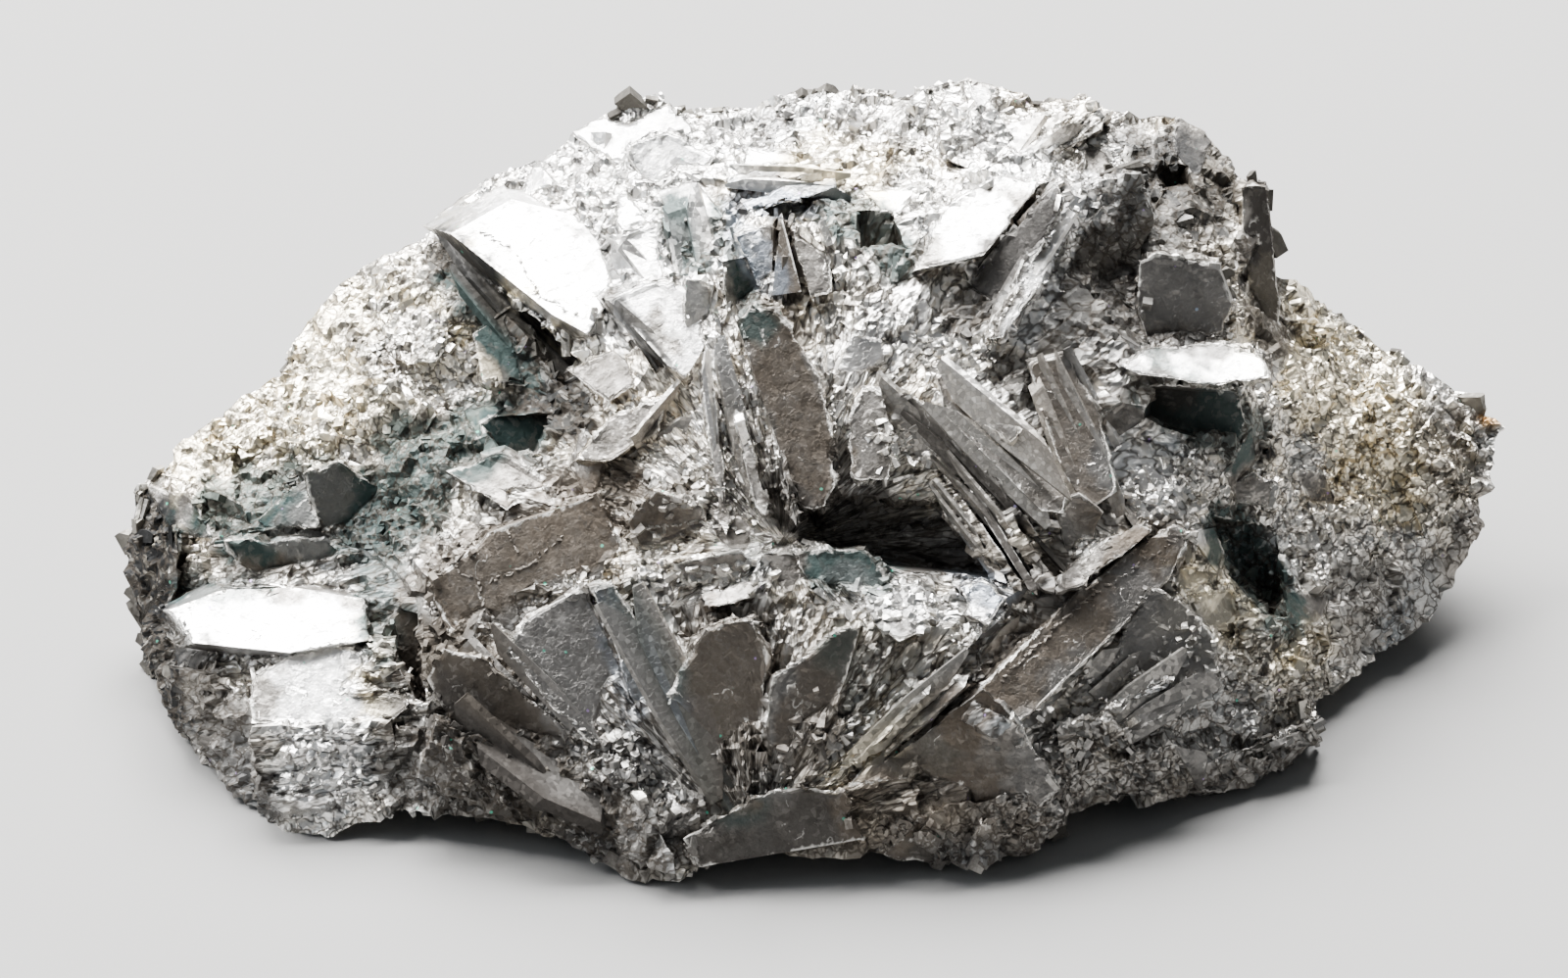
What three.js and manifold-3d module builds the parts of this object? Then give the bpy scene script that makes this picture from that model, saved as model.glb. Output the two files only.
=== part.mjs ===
// A hand-sized pyrite cluster: a granular mass of pale metal, broken open on its show face, where
// tabular crystals stand in fans. It grew as one piece, so it is one mesh.
//
// Everything is laid out on the show face and then turned upright. A place on the layout is
// [across, up, out], in millimetres: across runs to the right, up climbs the show face, and out
// comes straight off it. The show face looks up from the horizontal by SHOW_TILT.
import * as THREE from "three";
import { ConvexGeometry } from "three/addons/geometries/ConvexGeometry.js";
import { SimplexNoise } from "three/addons/math/SimplexNoise.js";
import { mergeVertices } from "three/addons/utils/BufferGeometryUtils.js";
import Module from "manifold-3d";

const wasm = await Module();
wasm.setup();

// ---- driving dimensions, in millimetres and degrees ----
const SHOW_TILT = 35; // how far the show face looks up
const LAYOUT_HEIGHT = 11.8; // height of the layout's centre above the ground
const GRAIN = 1.85; // spacing of the lumps on the show side of the granular mass
const BACK_GRAIN = 2.8; // and on its back and underside
const ROUGHNESS = 0.5; // how far they stand out or in
const RIM_STEP = 1.6; // longest step along the rim

// The rim of the mass as the show face is looked at squarely, clockwise from the left end.
const RIM = [
  [-35.4, -3.4, -5], [-34.3, -0.6, -5.5], [-32.3, 1.8, -6], [-29.4, 3.9, -6.5], [-27.6, 5.2, -7],
  [-26.7, 7.0, -7.5], [-25.4, 8.9, -8], [-23.1, 10.8, -8.5], [-19.1, 12.9, -8], [-18.3, 13.9, -7.5],
  [-16.7, 15.4, -7.5], [-13.1, 16.8, -8], [-12.6, 17.7, -8], [-10.9, 18.5, -8.5], [-9.5, 19.7, -8.5],
  [-7.5, 19.2, -9], [-3.2, 19.0, -9], [-2.0, 19.7, -9], [1.2, 20.1, -9], [4.5, 19.6, -8.5],
  [8.0, 20.4, -8.5], [11.1, 19.7, -8], [14.0, 19.4, -7.5], [16.2, 18.5, -7], [18.7, 18.7, -7],
  [20.6, 17.3, -6.5], [21.9, 15.3, -6], [23.2, 14.9, -6], [23.7, 12.3, -6], [23.9, 10.3, -8],
  [26.3, 9.0, -10], [28.3, 7.6, -10.5], [30.7, 5.9, -10.5], [33.8, 4.2, -10.5], [35.3, 2.6, -10],
  [35.2, 1.2, -9.5], [34.8, -0.8, -9], [34.4, -2.5, -8.5], [33.4, -4.6, -8], [32.3, -6.9, -7],
  [30.5, -8.3, -6], [28.3, -9.6, -4.5], [26.8, -11.0, -3], [25.9, -11.6, -1.5], [25.4, -13.2, 0],
  [22.0, -15.8, 3], [18.5, -16.4, 5], [14.2, -16.7, 6.5], [12.4, -17.5, 7], [11.0, -19.1, 7.4],
  [7.5, -19.7, 8.2], [3.5, -19.2, 9.2], [-4.4, -19.1, 9.4], [-6.8, -20.5, 9], [-9.4, -20.1, 8.8],
  [-11.4, -19.5, 8.4], [-12.8, -17.9, 8], [-16.5, -17.2, 7.2], [-21.7, -17.1, 6.2],
  [-24.3, -18.3, 6], [-27.0, -18.0, 5], [-29.6, -15.8, 3], [-32.3, -13.3, 0], [-33.7, -11.0, -2.2],
  [-34.2, -8.8, -3.4], [-35.2, -4.9, -4.6],
];

// How far out the show face stands at places on it.
const FRONT = [
  [-32.5, -2, -3], [-30, 0.5, -4], [-27, 4, -4.5], [-24, 8, -5.5], [-21, 10, -5.5], [-24, 3, -2.5],
  [-20, 7, -4], [-17, 5, -3], [-20, 1, -1], [-16, 1.5, 0], [-27, -1, -2], [-23, -2, -1.5],
  [-29, -4, -0.5], [-24, -4.5, 0], [-28, -6.5, 1.5], [-22, -7.5, 2.5], [-30, -10, 2], [-27, -11, 4.5],
  [-22, -10, 5], [-28, -14.5, 5], [-24, -16, 6.5], [-20, -14, 6], [-18, -8, 5], [-14, -12, 7.5],
  [-16, -15, 7.5], [-11, -16, 8.5], [-9, -18, 9.5], [-6, -12, 9.5], [0, -12, 10], [-2, -17, 10],
  [4, -16, 10], [8, -17, 9.5], [12, -14, 8.5], [16, -12, 7], [20, -9, 4.5], [23, -12, 2.5],
  [18, -5, 5], [24, -7, 0.5], [22, -3, -0.5], [21, 2, 1.5], [20, 5, 3], [26, 7, -7.5], [28, 0, -5],
  [31, 2, -7], [33.5, 0, -8], [30, -5, -5.5], [26, -6, -2.5], [25.5, 3, -3.5], [22, 11, -3],
  [18, 12, -1], [15, 9, 1], [20, 15, -4], [12, 16, -3.5], [8, 13, 1], [14, 17.5, -5], [0, 16, -3],
  [4, 12, 1.5], [-2, 10, 3], [-4, 15, -1.5], [-8, 14, -2], [-12, 13, -3.5], [-14, 9, -2],
  [0, 4, 5], [-4, 5, 4], [-8, 6, 2.5], [-8, 1, 3.5], [-12, 0, 2.5], [-4, -2, 5.5], [4, 5, 5],
  [8, 4, 4.5], [12, 3, 4.5], [5, -3, 5], [10, -3, 5.5], [0, -6, 7.5], [-8, -5, 6.5], [-13, -5, 4.5],
  [6, -8, 8.5], [14, -5, 6.5],
];

// How far out the back and the underside lie, seen through from the show face. The feet are the
// places that reach the ground.
const BACK = [
  [-31, -1, -12], [-27, 4, -14.5], [-22, 8.5, -15.5], [-16, 12, -17.5], [-9, 15.5, -15],
  [-2, 15, -19], [5, 16.5, -15], [12, 15, -17.5], [18, 13.5, -14], [21, 9.5, -17.5],
  [27, 5, -15.5], [31.5, 1.5, -15], [-24, 2, -19.5], [-14, 7, -22.5], [-5, 8, -23.5], [4, 8.5, -22],
  [13, 7.5, -23], [20, 3, -20.5], [-19, 0.5, -22.6], [-8, 1, -20], [3, 2, -19.2], [14, 1, -23.4],
  [-27, -4, -13], [25, -2, -15], [29, -4, -12.5], [-20, -5, -10.5], [-8, -5, -9.6], [5, -4.5, -10.8],
  [17, -5.5, -9.8], [-29, -10, -4.2], [-20, -11, -1.8], [-9, -11.5, 0.2], [2, -11, -1.2],
  [13, -11.5, -0.8], [22, -9, -4.6], [25, -9.5, -8], [-25.5, -16, 1.2], [-20, -15, 5],
  [-14, -15.5, 5.8], [-7, -18, 3.9], [0, -17, 7.4], [6, -16.5, 7], [11, -17, 2.5], [18, -13.5, 2.8],
];

// Tabular crystals and ledges. Each has the corners of its flat face, how proud of the mass the
// face's middle stands, how far the face leans [to the right, upwards] in degrees, how deep the
// crystal goes in and how far its sides flare out for each millimetre of that.
const CRYSTALS = [
  // the two slabs over the left shoulder
  {
    proud: 0.9, lean: [-8, 40], deep: 3.4, flare: 0.45,
    face: [
      [-18.6, 12.4], [-15.5, 14.2], [-10.9, 13.0], [-10.2, 9.3], [-11.5, 7.2], [-13.3, 8.2],
      [-15.5, 11.2],
    ],
  },
  {
    proud: 0.5, lean: [-5, 30], deep: 2.8, flare: 0.4,
    face: [[-10.4, 8.9], [-8.3, 9.8], [-5.3, 9.7], [-5.4, 6.8], [-6.5, 5.0], [-7.4, 5.6]],
  },
  {
    proud: 0.3, lean: [0, 36], deep: 2.2, flare: 0.4,
    face: [[-10.1, 12.0], [-7.5, 13.0], [-6.3, 11.2], [-7.0, 9.8], [-8.1, 9.4]],
  },
  {
    proud: 0.2, lean: [18, -10], deep: 2,
    face: [[-6.5, 10.0], [-5.1, 9.7], [-5.2, 7.2], [-6.0, 5.8], [-6.5, 7.8]],
  },
  // fins and blades at the top of the fan
  { proud: 1.3, lean: [-32, 5], face: [[-2.2, 9.1], [-1.6, 13.1], [-0.6, 9.3]] },
  {
    proud: 1, lean: [10, 25],
    face: [[-1.1, 12.4], [-0.4, 12.6], [0.8, 11.1], [1.0, 9.3], [-0.2, 8.9]],
  },
  { proud: 0.9, lean: [25, 20], face: [[0.3, 12.6], [1.1, 12.8], [1.6, 10.0], [1.1, 9.8]] },
  {
    proud: 0.9, lean: [0, 34], deep: 2.4,
    face: [[-4.6, 15.3], [-1.5, 15.8], [1.4, 16.1], [1.5, 15.7], [-1.5, 15.1], [-4.4, 14.7]],
  },
  {
    proud: 0.9, lean: [0, 34], deep: 2.4,
    face: [[-3.7, 14.0], [-1.5, 14.8], [1.1, 15.2], [1.2, 14.7], [-1.5, 13.9], [-3.2, 13.3]],
  },
  {
    proud: 0.3, lean: [-15, 12], deep: 2.6,
    face: [[-3.9, 12.2], [-2.0, 12.9], [-2.1, 9.2], [-2.6, 8.9]],
  },
  {
    proud: 0.2, lean: [22, -15], deep: 2.4,
    face: [[-4.6, 10.8], [-3.5, 11.1], [-2.7, 9.2], [-3.9, 7.3], [-4.4, 8.2]],
  },
  // the long rounded tongue down the middle
  {
    proud: 0.9, lean: [4, 8],
    face: [
      [-3.9, 7.8], [-3.2, 8.4], [-2.1, 8.4], [-0.9, 7.0], [0.3, 4.6], [0.9, 2.2], [1.0, -0.3],
      [0.6, -1.6], [-0.7, -1.7], [-1.3, 0.3], [-2.6, 4.6],
    ],
  },
  // the big slab that stands across the right shoulder
  {
    proud: 0.7, lean: [-18, 6], deep: 4,
    face: [[12.4, 15.0], [12.8, 14.2], [10.5, 9.7], [8.9, 6.7], [7.7, 7.8], [6.9, 8.7], [9.0, 11.2]],
  },
  {
    proud: 1.5, lean: [14, 30], deep: 4,
    face: [
      [12.5, 14.8], [13.9, 15.0], [13.5, 13.5], [11.5, 9.7], [9.6, 7.0], [8.8, 6.8],
      [10.5, 10.0],
    ],
  },
  {
    proud: 0.5, lean: [10, -10], deep: 4,
    face: [
      [13.9, 14.9], [16.5, 15.2], [17.2, 12.7], [16.0, 9.2], [13.0, 7.0], [10.0, 6.8],
      [12.3, 10.0],
    ],
  },
  {
    proud: 1.1, lean: [6, -10],
    face: [
      [16.6, 10.9], [17.4, 11.2], [20.5, 10.9], [21.3, 8.8], [20.7, 7.2], [18.8, 6.4],
      [17.1, 6.7], [16.4, 8.5],
    ],
  },
  {
    proud: 1.2, lean: [40, -4],
    face: [[21.9, 14.8], [23.2, 14.8], [23.9, 9.2], [23.9, 6.5], [22.6, 6.8], [22.3, 10.2]],
  },
  // the bright ledge under it
  {
    proud: 1.2, lean: [0, 44], deep: 3.4,
    face: [[15.3, 5.7], [17.0, 6.5], [20.5, 6.7], [22.7, 6.2], [23.0, 5.0], [20.5, 4.6], [16.5, 5.1]],
  },
  // blades that run down to the right of the tongue
  {
    proud: 0.7, lean: [-12, 12],
    face: [[2.5, 4.5], [3.3, 4.4], [4.1, 1.8], [3.8, -0.3], [1.9, -0.1], [1.8, 2.8]],
  },
  {
    proud: 1.3, lean: [14, 26],
    face: [[6.3, 5.0], [7.3, 5.2], [12.8, -0.8], [12.6, -1.9], [11.5, -1.8], [6.7, 3.0]],
  },
  {
    proud: 0.9, lean: [-28, -18],
    face: [[3.7, 4.4], [4.7, 4.3], [9.5, -0.3], [11.3, -3.0], [10.5, -3.2], [5.5, 1.8]],
  },
  { proud: 1.1, lean: [-20, 10], face: [[5.5, 5.7], [6.8, 5.4], [10.5, 2.3], [10.0, 1.7], [6.0, 4.3]] },
  {
    proud: 0.9, lean: [14, 14],
    face: [[10.9, 5.7], [12.8, 6.2], [14.5, 3.3], [15.3, -0.8], [13.8, -1.8], [12.3, 0.8]],
  },
  {
    proud: 0.5, lean: [0, -12], deep: 2.4,
    face: [[12.1, -1.4], [13.4, -1.0], [14.6, -1.9], [14.1, -3.2], [12.8, -3.8]],
  },
  // the long band that runs down to the left, its foot and the strip above it
  {
    proud: 0.7, lean: [16, 14],
    face: [
      [18.3, -2.4], [19.1, -3.0], [18.0, -5.3], [15.0, -7.8], [11.0, -11.8], [9.0, -13.0],
      [7.5, -12.3], [8.7, -10.3], [13.5, -5.8], [16.8, -3.2],
    ],
  },
  {
    proud: 0.3, lean: [2, -12],
    face: [
      [8.5, -10.8], [10.5, -12.8], [12.5, -15.8], [8.5, -18.3], [3.5, -16.8], [2.5, -15.3],
      [5.5, -13.3],
    ],
  },
  {
    proud: 0.9, lean: [8, 30],
    face: [[12.5, -4.8], [16.5, -2.3], [17.3, -2.8], [13.5, -5.5], [12.4, -5.8]],
  },
  // the smooth face low on the right and its neighbours
  {
    proud: 0.5, lean: [12, -2], deep: 2.6,
    face: [
      [15.9, -7.2], [17.0, -5.7], [18.7, -6.4], [20.3, -8.2], [20.4, -9.6], [18.7, -10.9],
      [16.6, -11.5], [15.1, -10.2], [15.0, -9.2],
    ],
  },
  {
    proud: 0.5, lean: [8, -14], deep: 2.4,
    face: [[20.5, -1.2], [22.4, 0.3], [23.8, -0.3], [23.5, -1.7], [21.6, -1.4]],
  },
  {
    proud: 0.3, lean: [28, -18], deep: 2,
    face: [[17.5, -16.2], [20.5, -14.3], [25.6, -12.5], [25.7, -13.5], [23.5, -15.0], [20.0, -16.2]],
  },
  // faces on the left end
  {
    proud: 0.5, lean: [-12, 14], deep: 2.4,
    face: [[-28.4, -2.3], [-26.1, 0.0], [-25.2, -2.6], [-28.0, -2.8]],
  },
  {
    proud: 0.5, lean: [16, -10], deep: 2.4,
    face: [[-26.1, 0.1], [-24.3, 0.7], [-21.9, -0.8], [-21.8, -2.8], [-24.0, -3.6], [-25.1, -2.8]],
  },
  {
    proud: 0.3, lean: [0, -18], deep: 2.4,
    face: [[-29.9, -3.4], [-25.0, -3.2], [-24.2, -3.8], [-25.4, -5.3], [-27.5, -5.8], [-29.3, -4.5]],
  },
  {
    proud: 0.1, lean: [-28, 0], deep: 2,
    face: [[-31.0, -0.8], [-29.3, -1.5], [-28.4, -3.0], [-30.3, -2.8]],
  },
  {
    proud: 0.1, lean: [-50, -8], deep: 2.4,
    face: [
      [-35.0, -3.0], [-32.5, -2.8], [-32.6, -5.8], [-33.5, -7.0], [-33.3, -10.3], [-34.0, -9.8],
      [-34.8, -5.8],
    ],
  },
  // the block at the left foot
  {
    proud: 0.7, lean: [-6, 42], deep: 3.4, flare: 0.25,
    face: [
      [-32.9, -6.9], [-30.0, -5.8], [-26.5, -5.7], [-22.9, -6.3], [-22.5, -8.3], [-26.5, -9.0],
      [-31.5, -8.5],
    ],
  },
  {
    proud: 0.2, lean: [-4, 28],
    face: [
      [-28.6, -10.3], [-25.0, -8.3], [-20.5, -10.3], [-20.6, -11.8], [-22.5, -12.8],
      [-28.4, -12.5],
    ],
  },
  {
    proud: 0.2, lean: [0, -6],
    face: [
      [-28.3, -12.8], [-21.5, -12.5], [-21.0, -15.3], [-24.0, -17.3], [-26.5, -17.3],
      [-28.4, -15.3],
    ],
  },
  {
    proud: 0.1, lean: [-38, -14],
    face: [
      [-32.8, -9.8], [-28.8, -10.8], [-28.0, -15.3], [-26.5, -17.5], [-29.5, -15.8],
      [-32.3, -12.8],
    ],
  },
  // the fan of big faces across the front
  {
    proud: 0.8, lean: [-6, 8],
    face: [
      [-19.5, -5.6], [-16.5, -2.9], [-10.9, -1.0], [-9.7, -3.9], [-10.3, -5.2], [-15.5, -8.5],
      [-18.0, -8.3],
    ],
  },
  {
    proud: 0.9, lean: [4, 6],
    face: [
      [-15.5, -8.7], [-14.5, -7.2], [-11.5, -5.6], [-10.3, -8.3], [-8.9, -12.1], [-10.4, -13.5],
      [-11.1, -13.6], [-13.4, -11.5],
    ],
  },
  {
    proud: 0.2, lean: [16, 8],
    face: [
      [-11.2, -5.7], [-10.2, -5.4], [-9.2, -7.3], [-8.4, -8.3], [-7.0, -11.3], [-5.7, -15.0],
      [-6.5, -15.3], [-8.8, -12.0], [-10.1, -8.5],
    ],
  },
  {
    proud: 0.4, lean: [0, -8],
    face: [
      [-5.4, -7.8], [-3.1, -7.3], [-2.5, -8.9], [-2.7, -12.8], [-3.1, -14.9], [-3.9, -16.4],
      [-5.6, -14.8], [-7.3, -11.4], [-7.0, -9.9],
    ],
  },
  {
    proud: 0.4, lean: [12, -6],
    face: [
      [-1.9, -10.2], [1.1, -7.9], [2.4, -7.6], [1.6, -10.2], [0.5, -12.7], [-1.2, -14.3],
      [-2.3, -14.7], [-2.2, -11.4],
    ],
  },
  {
    proud: 0.2, lean: [-18, -16],
    face: [
      [-19.6, -10.3], [-18.7, -8.7], [-16.5, -9.4], [-12.6, -12.7], [-10.7, -15.0],
      [-11.5, -15.8], [-14.3, -15.3], [-18.0, -13.0],
    ],
  },
  {
    proud: 0.3, lean: [-4, -14],
    face: [
      [-19.0, -12.3], [-15.5, -14.3], [-11.5, -15.8], [-9.5, -18.3], [-11.5, -18.8],
      [-16.5, -16.5], [-20.0, -15.3],
    ],
  },
  {
    proud: 0.2, lean: [-26, -2],
    face: [
      [-12.3, -15.3], [-10.3, -13.8], [-9.0, -15.3], [-7.5, -18.3], [-7.0, -20.0], [-9.5, -19.3],
      [-11.0, -17.3],
    ],
  },
  {
    proud: 0.4, lean: [2, -12],
    face: [[-6.5, -18.3], [-2.0, -15.8], [1.5, -15.8], [2.5, -18.3], [-2.0, -18.9], [-5.7, -19.7]],
  },
  {
    proud: 0.4, lean: [12, -12],
    face: [[5.0, -18.3], [6.5, -16.8], [11.5, -15.8], [12.5, -17.0], [11.0, -18.9], [7.5, -19.6]],
  },
  // the bright flakes in the middle of the fan
  {
    proud: 1, lean: [0, 44], deep: 2,
    face: [[-5.7, -6.0], [-3.5, -5.3], [-2.5, -5.4], [-3.3, -6.2], [-5.3, -6.7]],
  },
  {
    proud: 0.6, lean: [2, -20], deep: 2,
    face: [[-7.0, -4.5], [-3.8, -3.8], [-3.0, -4.5], [-3.5, -5.3], [-6.5, -5.4]],
  },
  {
    proud: 0.8, lean: [0, 32], deep: 2.4,
    face: [[2.4, -5.8], [5.3, -5.5], [5.8, -7.8], [4.3, -8.3], [3.0, -7.5]],
  },
  {
    proud: 0.8, lean: [6, 34], deep: 2.4,
    face: [[7.5, -5.8], [8.5, -5.3], [9.6, -6.2], [8.8, -7.5], [7.8, -7.0]],
  },
  { proud: 0.9, lean: [20, 30], deep: 2.4, face: [[9.5, -6.2], [9.9, -6.7], [7.2, -9.3], [6.6, -9.1]] },
  {
    proud: 0.3, lean: [0, 10], deep: 2,
    face: [[-1.0, -3.9], [2.5, -3.8], [3.8, -5.5], [1.5, -6.1], [-0.3, -5.3]],
  },
  {
    proud: 0.9, lean: [-10, 24], deep: 2.4,
    face: [[-12.0, 0.8], [-10.3, 3.0], [-7.5, 4.0], [-7.9, 2.3], [-10.5, 0.7]],
  },
  {
    proud: 0.7, lean: [10, -14], deep: 2.4,
    face: [[-9.5, -2.3], [-8.0, -0.8], [-5.8, -1.3], [-5.3, -3.0], [-7.0, -3.8], [-8.8, -3.5]],
  },
  // small faces over the rest of the show side
  {
    proud: 0.4, lean: [-6, 40],
    face: [[5.0, 10.3], [8.6, 11.2], [11.6, 14.9], [9.5, 15.4], [6.5, 13.5]],
  },
  { proud: 0.6, lean: [20, -30], deep: 2, face: [[24.0, 8.2], [26.6, 7.5], [26.6, 6.8], [24.1, 7.0]] },
  {
    proud: 0.4, lean: [-16, 20], deep: 2.4,
    face: [[-9.6, 16.9], [-7.4, 17.6], [-5.0, 16.4], [-6.2, 14.6], [-8.8, 15.0]],
  },
  {
    proud: 0.5, lean: [14, 30], deep: 2.4,
    face: [[6.6, 18.2], [9.0, 19.0], [10.2, 17.4], [8.6, 15.6], [6.8, 16.2]],
  },
  {
    proud: 0.4, lean: [-18, 30], deep: 2.4,
    face: [[-22.6, 8.2], [-20.0, 9.6], [-18.0, 8.2], [-19.4, 5.8], [-21.6, 5.6]],
  },
  {
    proud: 0.4, lean: [16, 26], deep: 2.4,
    face: [[-17.4, 7.2], [-15.4, 8.6], [-13.6, 6.6], [-14.8, 4.6], [-16.8, 4.8]],
  },
  {
    proud: 0.4, lean: [-12, 8], deep: 2.4,
    face: [[-23.6, 4.2], [-21.0, 4.8], [-19.4, 2.8], [-21.2, 1.2], [-23.4, 1.8]],
  },
  {
    proud: 0.5, lean: [-16, 30], deep: 2.4,
    face: [[-12.6, 5.4], [-10.2, 6.4], [-8.6, 5.0], [-10.4, 3.6]],
  },
  {
    proud: 0.6, lean: [0, 36], deep: 2.4,
    face: [[-18.6, 0.2], [-15.8, 1.0], [-13.4, -0.4], [-15.6, -1.8]],
  },
  {
    proud: 0.4, lean: [-14, 18], deep: 2.4,
    face: [[26.6, 3.6], [29.0, 4.8], [31.2, 3.6], [30.2, 1.2], [27.6, 1.4]],
  },
  {
    proud: 0.4, lean: [24, 10], deep: 2.4,
    face: [[30.2, -0.6], [32.6, 0.8], [33.6, -1.2], [31.6, -3.2]],
  },
  {
    proud: 0.4, lean: [16, -12], deep: 2.4,
    face: [[25.6, -2.0], [28.2, -1.2], [29.6, -3.4], [27.6, -5.6], [25.8, -4.6]],
  },
  {
    proud: 0.4, lean: [30, 6], deep: 2.4,
    face: [[21.4, -7.6], [24.2, -7.2], [25.4, -9.6], [22.6, -11.2], [21.0, -9.8]],
  },
  {
    proud: 0.4, lean: [10, -22], deep: 2.4,
    face: [[12.4, -12.8], [14.8, -12.2], [16.6, -14.0], [14.0, -15.8], [12.6, -14.8]],
  },
];

// The same on the back, seen through from the show side. They lean from the lie of the mass there.
const BACK_CRYSTALS = [
  {
    proud: 0.5, lean: [14, 6],
    face: [[-24.0, 8.2], [-19.0, 11.8], [-15.6, 9.0], [-17.4, 5.2], [-22.6, 5.0]],
  },
  {
    proud: 0.5, lean: [-10, -16],
    face: [[-12.0, 14.4], [-7.0, 16.0], [-3.6, 12.4], [-6.6, 9.6], [-12.6, 10.8]],
  },
  {
    proud: 0.7, lean: [8, 12],
    face: [[0.0, 14.6], [6.4, 15.2], [8.0, 13.2], [5.4, 11.2], [0.4, 12.2]],
  },
  {
    proud: 0.5, lean: [-10, 16],
    face: [[9.6, 14.4], [16.0, 14.0], [19.4, 9.8], [14.4, 8.6], [9.0, 10.8]],
  },
  {
    proud: 0.5, lean: [12, -8],
    face: [[21.8, 9.4], [26.8, 6.6], [28.4, 3.4], [24.0, 1.6], [20.8, 4.8]],
  },
  {
    proud: 0.5, lean: [10, -12],
    face: [[-19.4, 5.6], [-13.0, 6.6], [-10.8, 4.6], [-12.4, 2.4], [-17.2, 2.8]],
  },
  {
    proud: 0.6, lean: [-12, 10],
    face: [[-7.6, 7.4], [-2.0, 9.0], [1.6, 6.0], [-1.4, 3.0], [-7.8, 4.2]],
  },
  { proud: 0.6, lean: [12, 14], face: [[5.0, 7.2], [10.0, 9.2], [13.6, 6.2], [11.2, 4.0], [6.0, 4.2]] },
  {
    proud: 0.4, lean: [-14, 10],
    face: [[-30.4, 2.0], [-26.0, 4.4], [-23.8, 1.2], [-26.4, -2.0], [-30.6, -1.8]],
  },
  {
    proud: 0.5, lean: [-16, 14],
    face: [[17.0, 6.4], [20.0, 6.0], [21.0, 3.4], [18.4, 2.6], [15.8, 4.2]],
  },
];

// Thin blades and ridges: each runs from one end to the other, with its width, how proud its middle
// stands and how far it leans.
const BLADES = [
  { from: [5.5, 19.2], to: [4.8, 16.4], width: 0.5, proud: 0.9, lean: [-10, 30] },
  { from: [11.4, 16.6], to: [13.9, 18.7], width: 0.6, proud: 0.9, lean: [-10, 30] },
  { from: [12.2, 16.3], to: [14.8, 18.3], width: 0.5, proud: 0.9, lean: [-10, 20] },
  { from: [-5.3, 4.2], to: [-4.5, -2.3], width: 0.5, proud: 0.7, lean: [-20, 10] },
  { from: [-3.8, 2.8], to: [-2.6, -1.5], width: 0.5, proud: 0.7, lean: [-24, 10] },
  { from: [-3.0, 6.8], to: [-1.0, -2.0], width: 0.4, proud: 0.7, lean: [-30, 10] },
  { from: [6.4, -1.2], to: [9.4, -5.0], width: 0.4, proud: 0.9, lean: [-20, 6] },
  { from: [7.2, -1.0], to: [10.2, -5.4], width: 0.4, proud: 1, lean: [-20, 6] },
  { from: [8.1, -0.9], to: [11.0, -5.6], width: 0.4, proud: 1.1, lean: [-20, 6] },
  { from: [9.0, -1.2], to: [11.8, -5.4], width: 0.4, proud: 1.2, lean: [-20, 6] },
  { from: [10.8, -12.2], to: [15.3, -7.6], width: 0.5, proud: 0.5, lean: [10, 20] },
  { from: [13.4, -12.6], to: [17.6, -10.4], width: 0.5, proud: 0.4, lean: [10, 10] },
  { from: [12.6, -14.6], to: [18.6, -11.2], width: 0.7, proud: 0.4, lean: [4, 14] },
  { from: [2.8, -14.8], to: [7.4, -10.4], width: 0.5, proud: 0.7, lean: [-20, 14] },
  { from: [1.6, -14.6], to: [5.6, -10.8], width: 0.5, proud: 0.6, lean: [-20, 14] },
];

// Hollows: the corners of each mouth and how deep it is cut.
const HOLLOWS = [
  {
    deep: 1.6,
    face: [
      [-0.9, -0.9], [3.0, -0.7], [6.2, -1.0], [11.2, -3.8], [11.6, -5.4], [8.0, -5.2],
      [2.0, -4.6], [-0.8, -3.6],
    ],
  },
  { deep: 1.6, face: [[16.8, 4.7], [22.2, 4.5], [22.8, 1.6], [19.2, 1.6], [16.5, 2.8]] },
  { deep: 1.8, face: [[20.2, -2.0], [24.0, -2.2], [24.2, -6.6], [23.4, -7.4], [21.2, -5.2]] },
  { deep: 1.5, face: [[17.4, 16.4], [19.6, 16.2], [20.0, 14.2], [17.6, 14.4]] },
  { deep: 1.4, face: [[-17.8, 3.2], [-13.0, 3.4], [-14.0, 0.6], [-16.0, 0.2]] },
  { deep: 1.6, face: [[-22.2, -6.0], [-19.6, -6.4], [-19.6, -12.0], [-21.4, -9.6]] },
  { deep: 1.2, face: [[1.8, 13.8], [4.4, 14.1], [4.9, 11.4], [2.2, 11.2]] },
  { deep: 1.4, face: [[-10.6, 8.9], [-9.5, 8.6], [-7.2, 5.6], [-7.9, 5.0]] },
  { deep: 1.4, face: [[-7.6, 13.7], [-6.5, 13.8], [-5.9, 11.5], [-7.2, 11.3]] },
  { deep: 1.2, face: [[-19.4, 12.0], [-18.6, 12.4], [-11.4, 5.4], [-12.6, 4.6]] },
  { deep: 1.2, face: [[22.8, 1.6], [23.4, 1.6], [23.5, 1.0], [22.9, 0.9]] },
  { deep: 1.2, face: [[-1.7, -8.0], [-0.9, -7.6], [-2.2, -14.4], [-3.0, -14.2]] },
  { deep: 1.0, face: [[-10.4, -5.4], [-9.2, -5.6], [-6.6, -11.4], [-7.2, -12.0]] },
];
const MOUTH = 2.5; // how far the mouths are carried clear of the mass

// ---- solids ----
const rise = THREE.MathUtils.degToRad(90 - SHOW_TILT);
const standUp = new THREE.Matrix4()
  .makeTranslation(0, 0, LAYOUT_HEIGHT)
  .multiply(new THREE.Matrix4().makeRotationX(rise));

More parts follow.
